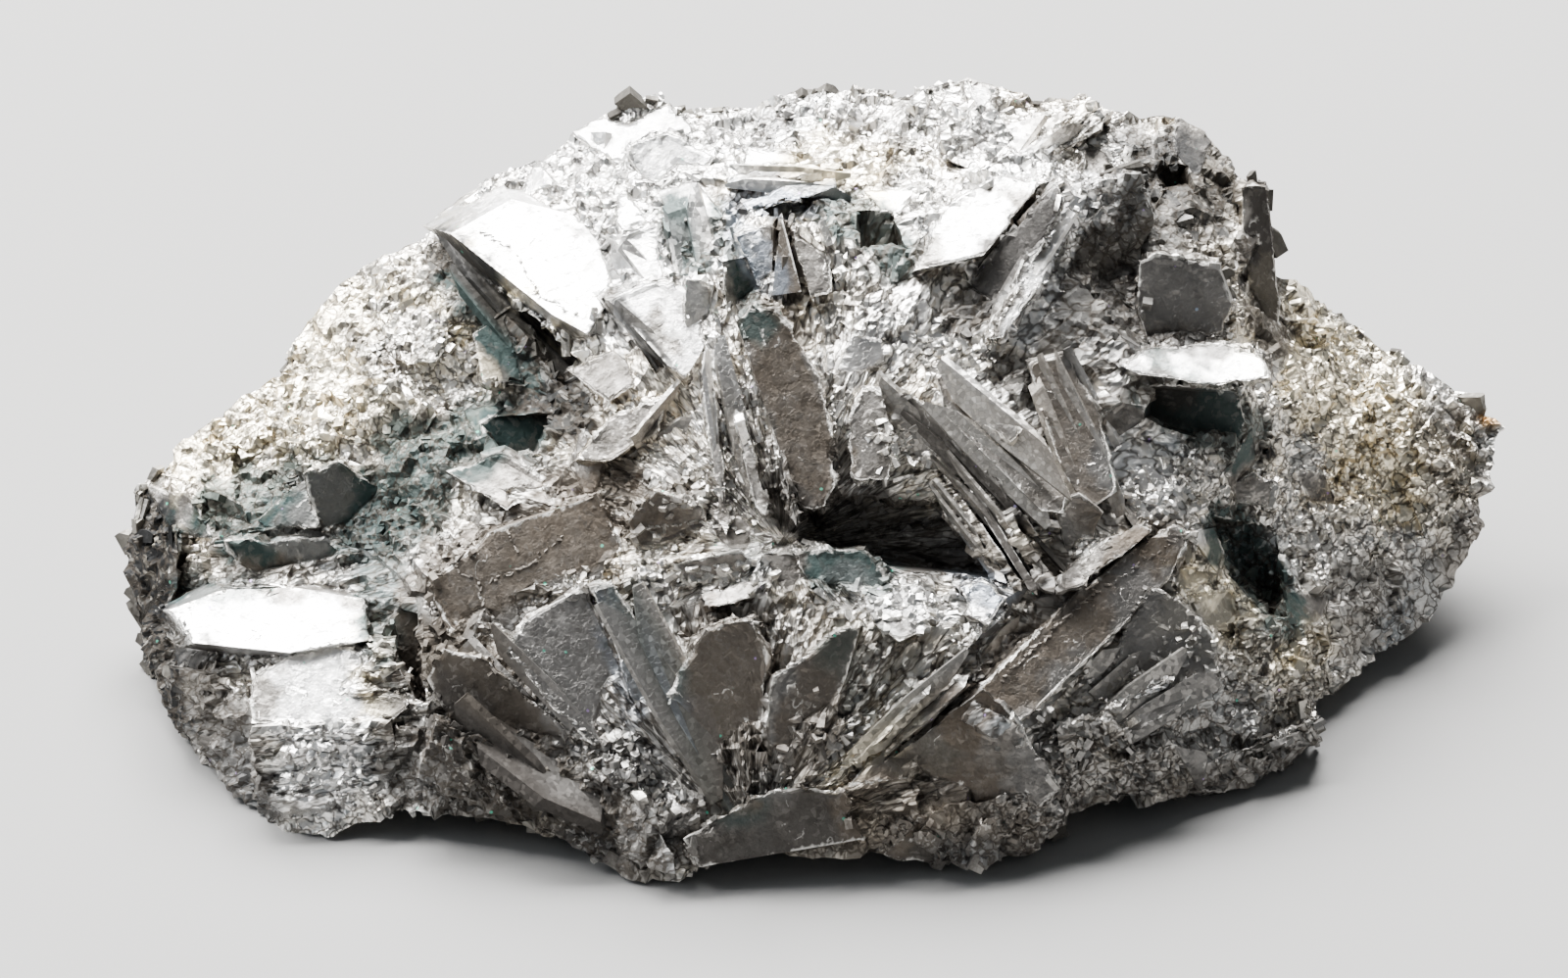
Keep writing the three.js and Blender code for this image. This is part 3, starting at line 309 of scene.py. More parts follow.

# Stains and painted light on the show face, from one place to another: how far each spreads from
# that line, its colour and its strength. Pale ones are painted highlights; grey, dull and black
# ones are painted shade; blue-green is tarnish darkened as painted shade; brown, umber, blue-grey
# and rust are tarnish. Later ones lie over earlier ones.
STAINS_AND_PAINTED_LIGHT = [
    ((-30.0, 3.0), (-16.0, 9.5), 4.2, PAINTED_HIGHLIGHT_CREAM, 0.75),
    ((-21.0, 12.5), (-8.0, 17.5), 2.6, PAINTED_HIGHLIGHT_WHITE, 0.6),
    ((-21.0, 6.6), (-19.0, 5.2), 2.0, PAINTED_HIGHLIGHT_WHITE, 0.7),
    ((-10.5, 18.5), (8.0, 18.0), 1.8, PAINTED_HIGHLIGHT_WHITE, 0.5),
    ((-14.0, 15.6), (-6.0, 12.6), 2.6, PAINTED_HIGHLIGHT_WHITE, 0.75),
    ((-3.0, 16.4), (-8.0, 16.0), 1.4, PAINTED_HIGHLIGHT_WHITE, 0.8),
    ((7.0, 17.6), (11.0, 15.6), 1.8, PAINTED_HIGHLIGHT_WHITE, 0.6),
    ((0.0, 16.0), (6.0, 14.5), 1.8, PAINTED_HIGHLIGHT_CREAM, 0.75),
    ((25.0, 7.8), (30.5, 0.2), 3.0, PAINTED_HIGHLIGHT_CREAM, 0.75),
    ((20.0, -6.0), (24.5, -9.6), 2.2, PAINTED_HIGHLIGHT_CREAM, 0.8),
    ((-16.0, 12.2), (-11.0, 9.2), 2.4, PAINTED_HIGHLIGHT_WHITE, 0.9),
    ((6.0, 14.0), (10.0, 11.4), 2.2, PAINTED_HIGHLIGHT_WHITE, 0.9),
    ((-6.6, 9.2), (-4.6, 3.2), 1.3, PAINTED_HIGHLIGHT_WHITE, 0.6),
    ((1.5, 6.5), (7.0, 8.0), 1.6, PAINTED_HIGHLIGHT_WHITE, 0.5),
    ((-31.5, -7.2), (-24.0, -8.6), 1.9, PAINTED_HIGHLIGHT_WHITE, 0.9),
    ((-22.6, -8.6), (-22.2, -11.6), 1.5, PAINTED_HIGHLIGHT_CREAM, 0.8),
    ((14.0, 5.8), (23.0, 5.5), 1.0, PAINTED_HIGHLIGHT_WHITE, 0.7),
    ((15.5, 0.8), (19.0, -2.6), 1.2, PAINTED_HIGHLIGHT_WHITE, 0.6),
    ((-17.0, -8.5), (-2.0, -12.5), 5.6, PAINTED_SHADE_GREY, 0.85),
    ((4.0, -9.5), (19.0, -9.5), 4.0, PAINTED_SHADE_GREY, 0.6),
    ((-31.5, -10.6), (-28.6, -16.6), 1.8, PAINTED_SHADE_DULL, 0.85),
    ((-21.0, -13.4), (-16.5, -16.4), 2.2, PAINTED_SHADE_DULL, 0.75),
    ((-25.0, -9.5), (-25.0, -15.8), 2.0, PAINTED_HIGHLIGHT_WHITE, 0.9),
    ((-19.0, -15.8), (-9.5, -18.2), 2.2, PAINTED_SHADE_DULL, 0.85),
    ((-8.0, -18.4), (2.0, -18.0), 1.8, PAINTED_SHADE_DULL, 0.8),
    ((0.5, -17.4), (12.5, -18.4), 2.2, PAINTED_SHADE_DULL, 0.85),
    ((3.0, -16.4), (12.0, -16.8), 1.9, BROWN, 0.85),
    ((12.5, -15.2), (25.5, -12.4), 2.8, PAINTED_SHADE_GREY, 0.85),
    ((14.0, -18.0), (25.5, -15.0), 1.3, PAINTED_SHADE_DULL, 0.75),
    ((13.0, -11.0), (20.0, -10.6), 2.0, PAINTED_SHADE_GREY, 0.6),
    ((26.0, -8.0), (33.0, -5.6), 2.4, PAINTED_SHADE_DULL, 0.5),
    ((32.6, 2.0), (34.0, -4.0), 1.8, BROWN, 0.7),
    ((-34.6, -2.6), (-33.6, -12.4), 2.0, PAINTED_SHADE_BLACK, 1.0),
    ((-30.0, -4.0), (-24.4, -3.8), 1.2, BROWN, 0.75),
    ((-32.0, -6.0), (-28.6, -5.6), 0.8, BLUE_GREEN_AND_PAINTED_SHADE, 0.75),
    ((-24.0, 7.4), (-21.5, 6.0), 0.8, PAINTED_SHADE_GREY, 0.8),
    ((-29.4, -1.8), (-20.6, -1.6), 2.6, BLUE_GREEN_AND_PAINTED_SHADE, 0.95),
    ((-26.0, -3.0), (-25.0, -1.0), 1.4, PAINTED_SHADE_GREY, 0.7),
    ((-21.0, 1.6), (-14.4, 2.8), 1.7, BLUE_GREEN_AND_PAINTED_SHADE, 0.95),
    ((-18.4, 0.6), (-16.4, 1.2), 1.0, BLUE_GREEN_AND_PAINTED_SHADE, 0.8),
    ((-22.0, -4.6), (-20.6, -8.8), 1.7, BLUE_GREEN_AND_PAINTED_SHADE, 0.9),
    ((-18.9, 11.5), (-12.6, 3.2), 1.55, PAINTED_SHADE_BLACK, 0.97),
    ((-18.9, 9.9), (-14.4, 4.8), 0.6, BLUE_GREEN_AND_PAINTED_SHADE, 0.8),
    ((-19.0, -8.8), (-12.0, -15.4), 2.3, UMBER, 0.95),
    ((-18.4, -12.8), (-11.0, -17.6), 2.2, PAINTED_SHADE_DULL, 0.97),
    ((-13.4, -14.6), (-9.6, -17.6), 1.9, PAINTED_SHADE_DULL, 0.8),
    ((-18.4, -5.4), (-11.0, -2.0), 2.5, BROWN, 0.9),
    ((-18.8, -5.6), (-15.0, -5.8), 1.6, UMBER, 0.6),
    ((-9.6, -2.4), (-7.0, -1.6), 1.6, BROWN, 0.6),
    ((-13.6, -8.2), (-10.6, -13.6), 2.0, PAINTED_SHADE_GREY, 0.85),
    ((-10.4, -6.4), (-9.0, -12.0), 0.7, BLUE_GREY, 0.5),
    ((-9.6, -6.4), (-3.6, -16.4), 1.3, BLUE_GREEN_AND_PAINTED_SHADE, 0.7),
    ((-6.4, -11.8), (-4.4, -15.0), 0.7, BLUE_GREY, 0.5),
    ((-4.6, -8.4), (-4.0, -14.6), 2.0, BROWN, 0.85),
    ((1.0, -8.2), (-0.6, -13.6), 1.5, BROWN, 0.8),
    ((2.6, -9.0), (5.4, -13.4), 2.0, BLUE_GREEN_AND_PAINTED_SHADE, 0.6),
    ((1.0, -15.2), (5.0, -12.4), 0.7, PAINTED_HIGHLIGHT_CREAM, 0.6),
    ((17.8, -3.6), (7.4, -12.4), 1.5, BROWN, 0.9),
    ((7.4, -12.4), (4.0, -16.4), 2.4, BROWN, 0.7),
    ((17.0, -6.6), (18.6, -9.4), 1.9, PAINTED_SHADE_GREY, 0.8),
    ((1.6, -5.8), (8.4, -7.2), 1.2, PAINTED_HIGHLIGHT_WHITE, 0.8),
    ((-0.8, -1.2), (11.5, -5.4), 1.9, PAINTED_SHADE_DULL, 0.85),
    ((0.4, -4.6), (3.2, -5.0), 1.1, BLUE_GREEN_AND_PAINTED_SHADE, 0.9),
    ((7.6, -5.4), (9.0, -6.0), 0.9, BLUE_GREY, 0.7),
    ((3.8, 4.0), (10.5, -1.8), 0.7, PAINTED_SHADE_DULL, 0.8),
    ((11.6, 5.0), (15.0, -1.0), 1.8, BROWN, 0.6),
    ((-2.6, 8.4), (0.6, 0.2), 1.6, BROWN, 0.75),
    ((-4.75, 13.75), (-2.9, 7.6), 0.8, BLUE_GREEN_AND_PAINTED_SHADE, 0.9),
    ((-7.2, 13.8), (-6.0, 10.8), 0.9, BLUE_GREEN_AND_PAINTED_SHADE, 0.95),
    ((-10.2, 9.0), (-7.5, 5.3), 0.5, PAINTED_SHADE_BLACK, 0.9),
    ((-1.7, 13.0), (-1.2, 9.2), 0.6, UMBER, 0.9),
    ((-2.5, 18.0), (-1.5, 18.4), 0.7, PAINTED_SHADE_DULL, 0.8),
    ((5.0, 18.2), (3.6, 14.8), 0.32, PAINTED_SHADE_DULL, 0.85),
    ((-3.8, 14.0), (1.0, 14.2), 0.9, BLUE_GREY, 0.8),
    ((-3.4, 12.2), (-2.2, 9.6), 0.8, BLUE_GREY, 0.6),
    ((1.8, 13.4), (4.4, 11.4), 1.6, BLUE_GREEN_AND_PAINTED_SHADE, 0.92),
    ((11.6, 13.4), (7.8, 8.0), 1.2, PAINTED_SHADE_DULL, 0.95),
    ((18.6, 14.6), (14.4, 8.0), 3.6, PAINTED_SHADE_BLACK, 0.85),
    ((13.6, 12.0), (19.4, 7.4), 1.6, PAINTED_SHADE_DULL, 0.9),
    ((17.6, 15.8), (20.4, 14.0), 1.7, PAINTED_SHADE_BLACK, 0.95),
    ((14.2, 14.8), (10.4, 7.2), 0.8, PAINTED_HIGHLIGHT_WHITE, 0.95),
    ((19.4, 12.6), (21.4, 9.0), 0.8, PAINTED_SHADE_GREY, 0.6),
    ((17.4, 9.8), (20.4, 8.4), 1.8, PAINTED_SHADE_GREY, 0.7),
    ((22.9, 14.6), (23.5, 7.0), 1.1, PAINTED_SHADE_DULL, 0.95),
    ((17.6, 4.2), (21.8, 2.2), 1.7, BLUE_GREEN_AND_PAINTED_SHADE, 0.85),
    ((17.2, 4.6), (18.8, 4.0), 0.9, PAINTED_SHADE_DULL, 0.8),
    ((21.0, -2.6), (23.8, -6.6), 1.5, BLUE_GREEN_AND_PAINTED_SHADE, 0.95),
    ((22.9, 1.3), (23.1, 1.2), 0.5, PAINTED_SHADE_BLACK, 1.0),
    ((35.0, 3.0), (35.1, 2.9), 0.6, RUST, 0.9),
]


def off_line(across, up, start, end):
    """How far points on the show face lie from the line between two places."""
    line = np.subtract(end, start)
    share = ((across - start[0]) * line[0] + (up - start[1]) * line[1]) / line.dot(line)
    share = np.clip(share, 0, 1)
    return np.hypot(across - start[0] - line[0] * share, up - start[1] - line[1] * share)


def stains_and_painted_light(points, shown):
    """The stains, painted highlights and painted shade at each point, as a colour and how strong it
    is.
    The back is painted darker instead, in patches, as painted shade.
    """
    across, up, out = to_layout(points).T
    shown = shown * smooth_step(out, *BEHIND)
    colour = np.zeros((len(points), 4))
    wander = smooth_noise(points, SLOW_SCALE) + smooth_noise(points, QUICK_SCALE) * QUICK_SHARE
    for start, end, spread, tint, strength in STAINS_AND_PAINTED_LIGHT:
        far = off_line(across, up, start, end) / spread + wander * RIM_WANDER
        amount = strength * smooth_step(-far, *STAIN_AND_PAINTED_LIGHT_EDGES) * shown
        fresh = (colour[:, 3] < UNPAINTED) & (amount > 0)
        colour[:, :3] += (np.array(tint) - colour[:, :3]) * np.maximum(amount, fresh)[:, None]
        colour[:, 3] = np.maximum(colour[:, 3], amount)
    hidden = colour[:, 3] < UNPAINTED
    patch = smooth_noise(points, BACK_PATCH_SCALE, BACK_PATCH_SHIFT) + wander * BACK_WANDER
    share = smooth_step(patch, *BACK_PATCH_EDGES)[:, None]
    # the hidden side painted darker, in patches: painted shade
    colour[hidden, :3] = (np.array(PAINTED_BACK_SHADE_DARK) * (1 - share) + np.array(PAINTED_BACK_SHADE_PALE) * share)[hidden]
    colour[hidden, 3] = PAINTED_BACK_SHADE_STRENGTH * (1 - shown[hidden])
    return np.clip(colour, 0, 1)


def body_mesh(node):
    bm = merged_solid(node)
    crystal = mark_crystal_faces(bm)
    refine(bm, crystal)
    bm.normal_update()
    bm.verts.ensure_lookup_table()
    bm.verts.index_update()
    points = np.array([v.co for v in bm.verts])
    normals = np.array([v.normal for v in bm.verts])
    ground = np.array([np.mean([1 - f[crystal] for f in v.link_faces]) for v in bm.verts])
    sharp = edge_sharpness(bm) * (ground < 1)
    open_air = openness(bm, points, normals)
    fabric = fabric_places(points)[1]
    calm = smooth_step(smooth_noise(points, CALM_SCALE, CALM_SHIFT), *CALM_EDGES)
    moved = cells(fabric, *LUMPS, seed=1) + cells(fabric, *FACETS, seed=2) * (1 - 0.5 * calm)
    moved += cells(points, *GRAINS, seed=3) * (1 - 0.8 * calm)
    moved = np.clip(moved, -MOST_MOVED, MOST_MOVED)
    places = points + normals * (moved * ground)[:, None]
    places[:, 2] = np.maximum(places[:, 2], 0)
    for v, place in zip(bm.verts, places):
        v.co = place
    marks = {"ground": ground, "open_air": open_air, "sharp": sharp, "calm": calm}
    for name, values in marks.items():
        layer = bm.verts.layers.float.new(name)
        for v, value in zip(bm.verts, values):
            v[layer] = value
    # stains, painted highlights and painted shade, as a colour per point
    stain_and_painted_light = bm.verts.layers.float_color.new("stain_and_painted_light")
    run = bm.verts.layers.float_vector.new("fabric")
    shown = smooth_step(normals @ np.array(OUT), *RIM)
    for v, colour, place in zip(bm.verts, stains_and_painted_light(places, shown), fabric):
        v[stain_and_painted_light] = colour
        v[run] = place
    return bm


def new_object(name, data):
    thing = bpy.data.objects.new(name, data)
    bpy.context.scene.collection.objects.link(thing)
    return thing


def finished(name, mesh, material):
    """The mesh as a piece of the part, with its material, riding on the body."""
    mesh.materials.append(material)
    piece = new_object(name, mesh)
    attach(piece, "root")
    return piece


def in_metres(name, bm):
    bmesh.ops.scale(bm, vec=Vector((1, 1, 1)) * MM, verts=bm.verts)
    mesh = bpy.data.meshes.new(name)
    bm.to_mesh(mesh)
    bm.free()
    return mesh


# ---- small crystals, strewn ----
CHIP_SINK = 0.3  # how far a chip sinks in, as a share of its size
FACING_DOWN = -0.45  # no chips lie on faces whose normals point further down than this
TURNED_AWAY = -0.2  # faces turned further from the show side than this are on the back


def cleave(bm, point, normal):
    """Cuts off what lies beyond a plane, and closes the cut."""
    loose = bmesh.ops.bisect_plane(
        bm,
        geom=bm.verts[:] + bm.edges[:] + bm.faces[:],
        plane_co=point,
        plane_no=normal,
        clear_outer=True,
    )
    rim = [g for g in loose["geom_cut"] if isinstance(g, bmesh.types.BMEdge)]
    if rim:
        bmesh.ops.contextual_create(bm, geom=rim)


def cut_crystal(size, cuts, seed):
    """A small block with its corners cleaved off."""
    rng = random.Random(seed)
    bm = bmesh.new()
    bmesh.ops.create_cube(bm, size=1)
    bmesh.ops.scale(bm, vec=Vector(size), verts=bm.verts)
    for _ in range(cuts):
        normal = Vector([rng.uniform(-1, 1) for _ in range(3)]).normalized()
        reach = max(v.co.dot(normal) for v in bm.verts)
        cleave(bm, normal * reach * rng.uniform(0.55, 0.8), normal)
    bmesh.ops.recalc_face_normals(bm, faces=bm.faces)
    return bm


def blade(seed):
    """A thin upright plate, long in X and thin in Y, narrowing to ragged ends."""
    rng = random.Random(seed)
    bm = bmesh.new()
    bmesh.ops.create_cube(bm, size=1)
    cuts = [((end * rng.uniform(0.38, 0.48), 0), (end, rng.uniform(-0.5, 0.5))) for end in (-1, 1)]
    for side in (-1, 1):
        cuts.append(((rng.uniform(-0.1, 0.3), side * 0.42), (rng.uniform(0.1, 0.5), side)))
        cuts.append(((rng.uniform(-0.3, 0.1), side * 0.42), (-rng.uniform(0.1, 0.4), side)))
    for (x, z), (way_x, way_z) in cuts:
        way = Vector((way_x, rng.uniform(-0.1, 0.1), way_z)).normalized()
        cleave(bm, Vector((x, 0, z)), way)
    bmesh.ops.recalc_face_normals(bm, faces=bm.faces)
    return bm


def shape_of(bm):
    """The corners and faces of a small shape."""
    bm.verts.index_update()
    corners = np.array([v.co for v in bm.verts])
    faces = [[v.index for v in f.verts] for f in bm.faces]
    bm.free()
    return corners, faces


def strewn(name, shapes, places, material, lying=False):
    """One piece of many copies of a few shapes. A place is (shape, matrix, tone)."""
    corners = []
    faces = []
    tones = []
    facing = []
    total = 0
    for index, matrix, tone in places:
        local, local_faces = shapes[index % len(shapes)]
        corners.append(local @ np.array(matrix.to_3x3()).T + np.array(matrix.translation))
        faces += [[total + i for i in face] for face in local_faces]
        tones += [tone] * len(local)
        facing += [matrix.col[2].to_3d().normalized().dot(OUT) if lying else 1.0] * len(local)
        total += len(local)
    mesh = bpy.data.meshes.new(name)
    flat = np.concatenate(corners)
    flat[:, 2] = np.maximum(flat[:, 2], 0)
    mesh.from_pydata(flat * MM, [], faces)
    mesh.attributes.new("tone", "FLOAT", "POINT").data.foreach_set("value", tones)
    # stains, painted highlights and painted shade, as a colour per point
    stain_and_painted_light = mesh.attributes.new("stain_and_painted_light", "FLOAT_COLOR", "POINT")
    shown = smooth_step(np.array(facing), *RIM)
    stain_and_painted_light.data.foreach_set("color", stains_and_painted_light(flat, shown).ravel())
    mesh.update()
    return finished(name, mesh, material)


class Surface:
    """The finished body's faces, to strew things on."""

    def __init__(self, bm):
        crystal = bm.faces.layers.int["crystal"]
        self.corners = np.array([[v.co for v in f.verts] for f in bm.faces])
        self.normals = np.array([f.normal for f in bm.faces])
        self.crystal = np.array([f[crystal] for f in bm.faces])
        edges = self.corners[:, 1:] - self.corners[:, :1]
        self.area = np.linalg.norm(np.cross(edges[:, 0], edges[:, 1]), axis=1) / 2
        middles = self.corners.mean(axis=1)
        self.fan = fabric_places(middles)[0]
        calm = bm.verts.layers.float["calm"]
        self.calm = np.array([f.verts[0][calm] for f in bm.faces])
        across, up, _ = to_layout(middles).T
        self.plates = within(across, up, PLATES_MIDDLE, PLATES_REACH)
        self.tree = BVHTree.FromBMesh(bm)

    def spots(self, count, weight, seed):
        """Random places, as (point, normal), with more of them where the weight is larger."""
        rng = np.random.default_rng(seed)
        chance = self.area * weight
        faces = rng.choice(len(self.area), count, p=chance / chance.sum())
        a, b = rng.random((2, count))
        over = a + b > 1
        a[over], b[over] = 1 - a[over], 1 - b[over]
        c = self.corners[faces]
        points = c[:, 0] + a[:, None] * (c[:, 1] - c[:, 0]) + b[:, None] * (c[:, 2] - c[:, 0])
        return [(Vector(p), Vector(n)) for p, n in zip(points, self.normals[faces])]

    def seen_at(self, across, up):
        """The point and normal on the show face at this place."""
        return self.tree.ray_cast(on_layout(across, up, WELL_OUT), -OUT)[:2]


def laid(point, normal, along, lean, size, rng):
    """A matrix that lays a shape on the ground: flat side up, length along, leaning a little."""
    side = normal.cross(along)
    if side.length < 0.05:
        side = normal.orthogonal()
    side.normalize()
    length = side.cross(normal).normalized()
    turned = Matrix((length, side, normal)).transposed()
    tilt = Euler((rng.gauss(0, lean), rng.gauss(0, lean), rng.uniform(-0.5, 0.5))).to_matrix()
    scale = Matrix.Diagonal(Vector(size))
    return Matrix.Translation(point) @ (turned @ tilt @ scale).to_4x4()


def blade_way(point):
    """The way the blades run at a point on the show face, away from their root."""
    across, up, _ = to_layout([point])[0]
    if within(across, up, LAYERS_MIDDLE, LAYERS_REACH) > 0.5:
        return ACROSS + UP * math.tan(LAYERS_RISE)
    root = UPPER_ROOT if in_upper_fan(across, up) else LOWER_ROOT
    return ACROSS * (across - root[0]) + UP * (up - root[1])


def grain_places(surface, count, weight, seed, size, lean, order):
    """Places for chips that lie along the blades, the more so the larger the order."""
    rng = random.Random(seed)
    places = []
    for point, normal in surface.spots(count, weight, seed):
        along = blade_way(point).normalized() * order
        along += Vector([rng.gauss(0, 0.6) for _ in range(3)])
        grow = rng.lognormvariate(0, 0.35) * size
        stretch = rng.uniform(0.7, 1.4 + order)
        matrix = laid(
            point - normal * CHIP_SINK * grow,
            normal,
            along,
            lean,
            (grow * stretch, grow, grow * rng.uniform(0.5, 1.0)),
            rng,
        )
        places.append((rng.randrange(100), matrix, rng.random()))
    return places


# Stacks of blades that overlap like roof tiles: [from, to] on the show face, the stack's width, how
# many, how thick, and how far they stand up from lying flat, in radians
STACKS = [
    ((6.2, 0.4), (11.7, -6.0), 3.0, 6, 0.2, 0.9),
    ((2.6, 4.8), (6.4, 0.0), 2.4, 1, 0.3, 0.2),
    ((3.4, 3.7), (11.5, -2.8), 1.0, 1, 0.25, 0.6),
    ((5.6, 5.2), (12.6, -1.4), 3.0, 2, 0.3, 0.3),
    ((11.8, 6.0), (15.0, -1.5), 3.2, 4, 0.2, 0.35),
    ((10.9, 16.2), (13.6, 18.4), 1.8, 2, 0.25, -0.3),
    ((8.2, 14.0), (12.0, 18.4), 2.4, 2, 0.25, -0.3),
    ((-4.6, 15.4), (1.4, 14.9), 1.4, 2, 0.2, 0.5),
    ((-18.7, 11.4), (-12.2, 3.6), 1.8, 2, 0.3, -0.5),
    ((-10.4, -5.8), (-4.6, -15.8), 1.6, 1, 0.25, -0.2),
    ((-8.8, -6.4), (-3.6, -17.0), 1.5, 1, 0.22, -0.3),
    ((-16.6, -7.4), (-10.8, -13.8), 1.0, 1, 0.25, 0.3),
    ((-18.0, -9.0), (-10.6, -17.4), 2.4, 1, 0.3, 0.3),
    ((-18.8, -11.0), (-12.4, -17.8), 2.0, 1, 0.3, 0.4),
    ((-16.6, -12.4), (-10.6, -16.9), 3.6, 1, 0.35, 0.1),
    ((2.4, -14.6), (8.2, -9.8), 2.4, 3, 0.2, 0.4),
    ((6.2, -11.6), (11.2, -5.6), 1.6, 2, 0.22, 0.4),
    ((10.8, -13.8), (16.4, -8.4), 1.8, 2, 0.25, 0.3),
    ((13.6, -14.0), (20.2, -9.0), 2.4, 2, 0.22, 0.3),
    ((-10.4, 8.6), (-7.2, 5.0), 1.6, 2, 0.22, 0.4),
    ((-10.2, 11.8), (-8.2, 9.4), 1.6, 2, 0.22, 0.4),
    ((-7.0, 15.0), (-5.2, 7.8), 2.0, 2, 0.22, -0.4),
    ((-5.4, 7.0), (-3.6, -0.6), 1.8, 2, 0.2, -0.4),
    ((8.8, 7.4), (12.6, 13.2), 1.2, 1, 0.3, -0.3),
    ((-9.4, 1.2), (-5.8, 3.6), 2.2, 2, 0.2, 0.4),
    ((16.4, 0.4), (18.6, -5.2), 2.4, 3, 0.2, -0.3),
]


def stack_places(surface, seed):
    rng = random.Random(seed)
    places = []
    for start, end, width, count, thick, stand in STACKS:
        start, end = Vector(start), Vector(end)
        way = (end - start).normalized()
        beside = Vector((way.y, -way.x))
        for i in range(count):
            share = (i + 0.5) / count - 0.5
            middle = start.lerp(end, rng.uniform(0.42, 0.58)) + beside * (share * width)
            length = (end - start).length * rng.uniform(0.85, 1.15)
            point, normal = surface.seen_at(*middle)
            if point is None:
                continue
            normal = (normal + OUT).normalized()
            turn = way + beside * (share * 0.12 + rng.gauss(0, 0.015))
            along = ACROSS * turn.x + UP * turn.y
            along = (along - normal * along.dot(normal)).normalized()
            across = along.cross(normal)
            thin = normal * math.cos(stand) + across * math.sin(stand + rng.gauss(0, 0.05))
            thin.normalize()
            broad = width / count * rng.uniform(1.2, 1.6)
            turned = Matrix((along, thin, along.cross(thin))).transposed()
            grow = Matrix.Diagonal(Vector((length, thick * rng.uniform(0.8, 1.3), broad)))
            lift = point + normal * (rng.uniform(-0.16, -0.04) - 0.3 * broad * math.sin(abs(stand)))
            matrix = Matrix.Translation(lift) @ (turned @ grow).to_4x4()
            places.append((rng.randrange(100), matrix, rng.random()))
    return places


RIDGE_STEP = 0.17  # from one chip of a ridge to the next
RIDGE_GAPS = 0.15  # the share of its chips that a ridge lacks

# Bright broken ridges along the edges and growth lines of the plates: points on the show face
RIDGES = [
    [(-19.6, -5.7), (-17.2, -3.2), (-14.4, -1.9), (-10.9, -1.0)],
    [(-14.7, -7.2), (-13.2, -6.0), (-11.6, -5.5)],
    [(-16.4, -5.4), (-14.2, -4.4), (-12.6, -3.0)],
    [(-18.4, -4.6), (-17.0, -5.4), (-16.6, -6.6)],
    [(-15.6, -2.8), (-14.9, -3.9)],
    [(-10.7, -1.2), (-9.9, -3.6), (-9.7, -5.0)],
    [(-15.4, -8.8), (-13.4, -11.4), (-10.8, -13.5)],
    [(-3.8, -6.6), (-2.6, -7.4)],
    [(-6.4, -8.4), (-5.4, -7.6), (-3.6, -7.2)],
    [(2.2, -7.6), (0.6, -8.2), (-1.8, -10.2)],
    [(-7.0, -5.6), (-4.2, -5.0), (-2.6, -5.8)],
    [(-8.4, -2.6), (-5.6, -2.4), (-3.4, -2.9)],
    [(19.0, -2.8), (13.6, -6.4), (9.4, -10.4)],
    [(15.8, -7.2), (17.0, -5.8), (18.7, -6.4)],
    [(15.2, -10.2), (15.9, -7.4)],
    [(-3.7, 8.2), (-3.2, 4.4), (-1.8, 1.0), (-1.4, -1.6)],
    [(0.9, 4.0), (1.3, 0.0)],
    [(-17.2, 12.6), (-15.4, 11.6), (-14.0, 9.2), (-12.0, 8.2)],
    [(6.6, -8.0), (9.0, -9.2)],
    [(-0.4, -15.6), (2.6, -14.2)],
    [(5.4, 17.4), (4.7, 19.0)],
    [(14.0, 15.2), (9.0, 7.2)],
]

# Bright lumps of grain between the plates: [across, up] and how far they spread both ways
GRAIN_LUMPS = [
    ((-8.2, -5.2), (1.0, 2.0), 60),
    ((-12.0, -5.3), (1.0, 0.6), 30),
    ((-9.4, -14.4), (0.9, 1.7), 60),
    ((-6.6, -17.2), (1.6, 1.2), 50),
    ((4.6, -6.4), (3.0, 1.4), 110),
    ((-4.4, -5.0), (2.2, 0.8), 50),
    ((17.4, -1.0), (2.2, 1.8), 90),
    ((-6.8, -0.8), (2.0, 1.5), 60),
    ((4.0, 2.2), (1.4, 1.6), 40),
    ((18.8, -9.2), (2.2, 1.8), 70),
    ((0.6, -13.2), (1.6, 1.4), 50),
    ((-1.6, -14.6), (0.6, 0.8), 20),
    ((-25.0, -14.6), (2.4, 1.6), 80),
    ((6.2, 6.4), (2.2, 1.4), 60),
    ((12.6, -13.0), (2.4, 1.4), 60),
]


def ridge_places(surface, seed):
    rng = random.Random(seed)
    places = []
    for line in RIDGES:
        for start, end in zip(line, line[1:]):
            start, end = Vector(start), Vector(end)
            way = (end - start).normalized()
            for step in range(int((end - start).length / RIDGE_STEP)):
                if rng.random() < RIDGE_GAPS:
                    continue
                middle = start + way * (step * RIDGE_STEP + rng.uniform(0, 0.1))
                middle += Vector((rng.gauss(0, 0.06), rng.gauss(0, 0.06)))
                point, normal = surface.seen_at(*middle)
                if point is None:
                    continue
                grow = rng.uniform(0.1, 0.24)
                along = ACROSS * way.x + UP * way.y
                upward = (normal + UP * 0.5).normalized()
                size = (grow * rng.uniform(1.0, 2.4), grow * 0.8, grow * 0.8)
                matrix = laid(point, upward, along, 0.35, size, rng)
                # tones kept pale: a painted highlight along the ridges, over the light they catch
                places.append((rng.randrange(100), matrix, 0.6 + 0.4 * rng.random()))
    return places


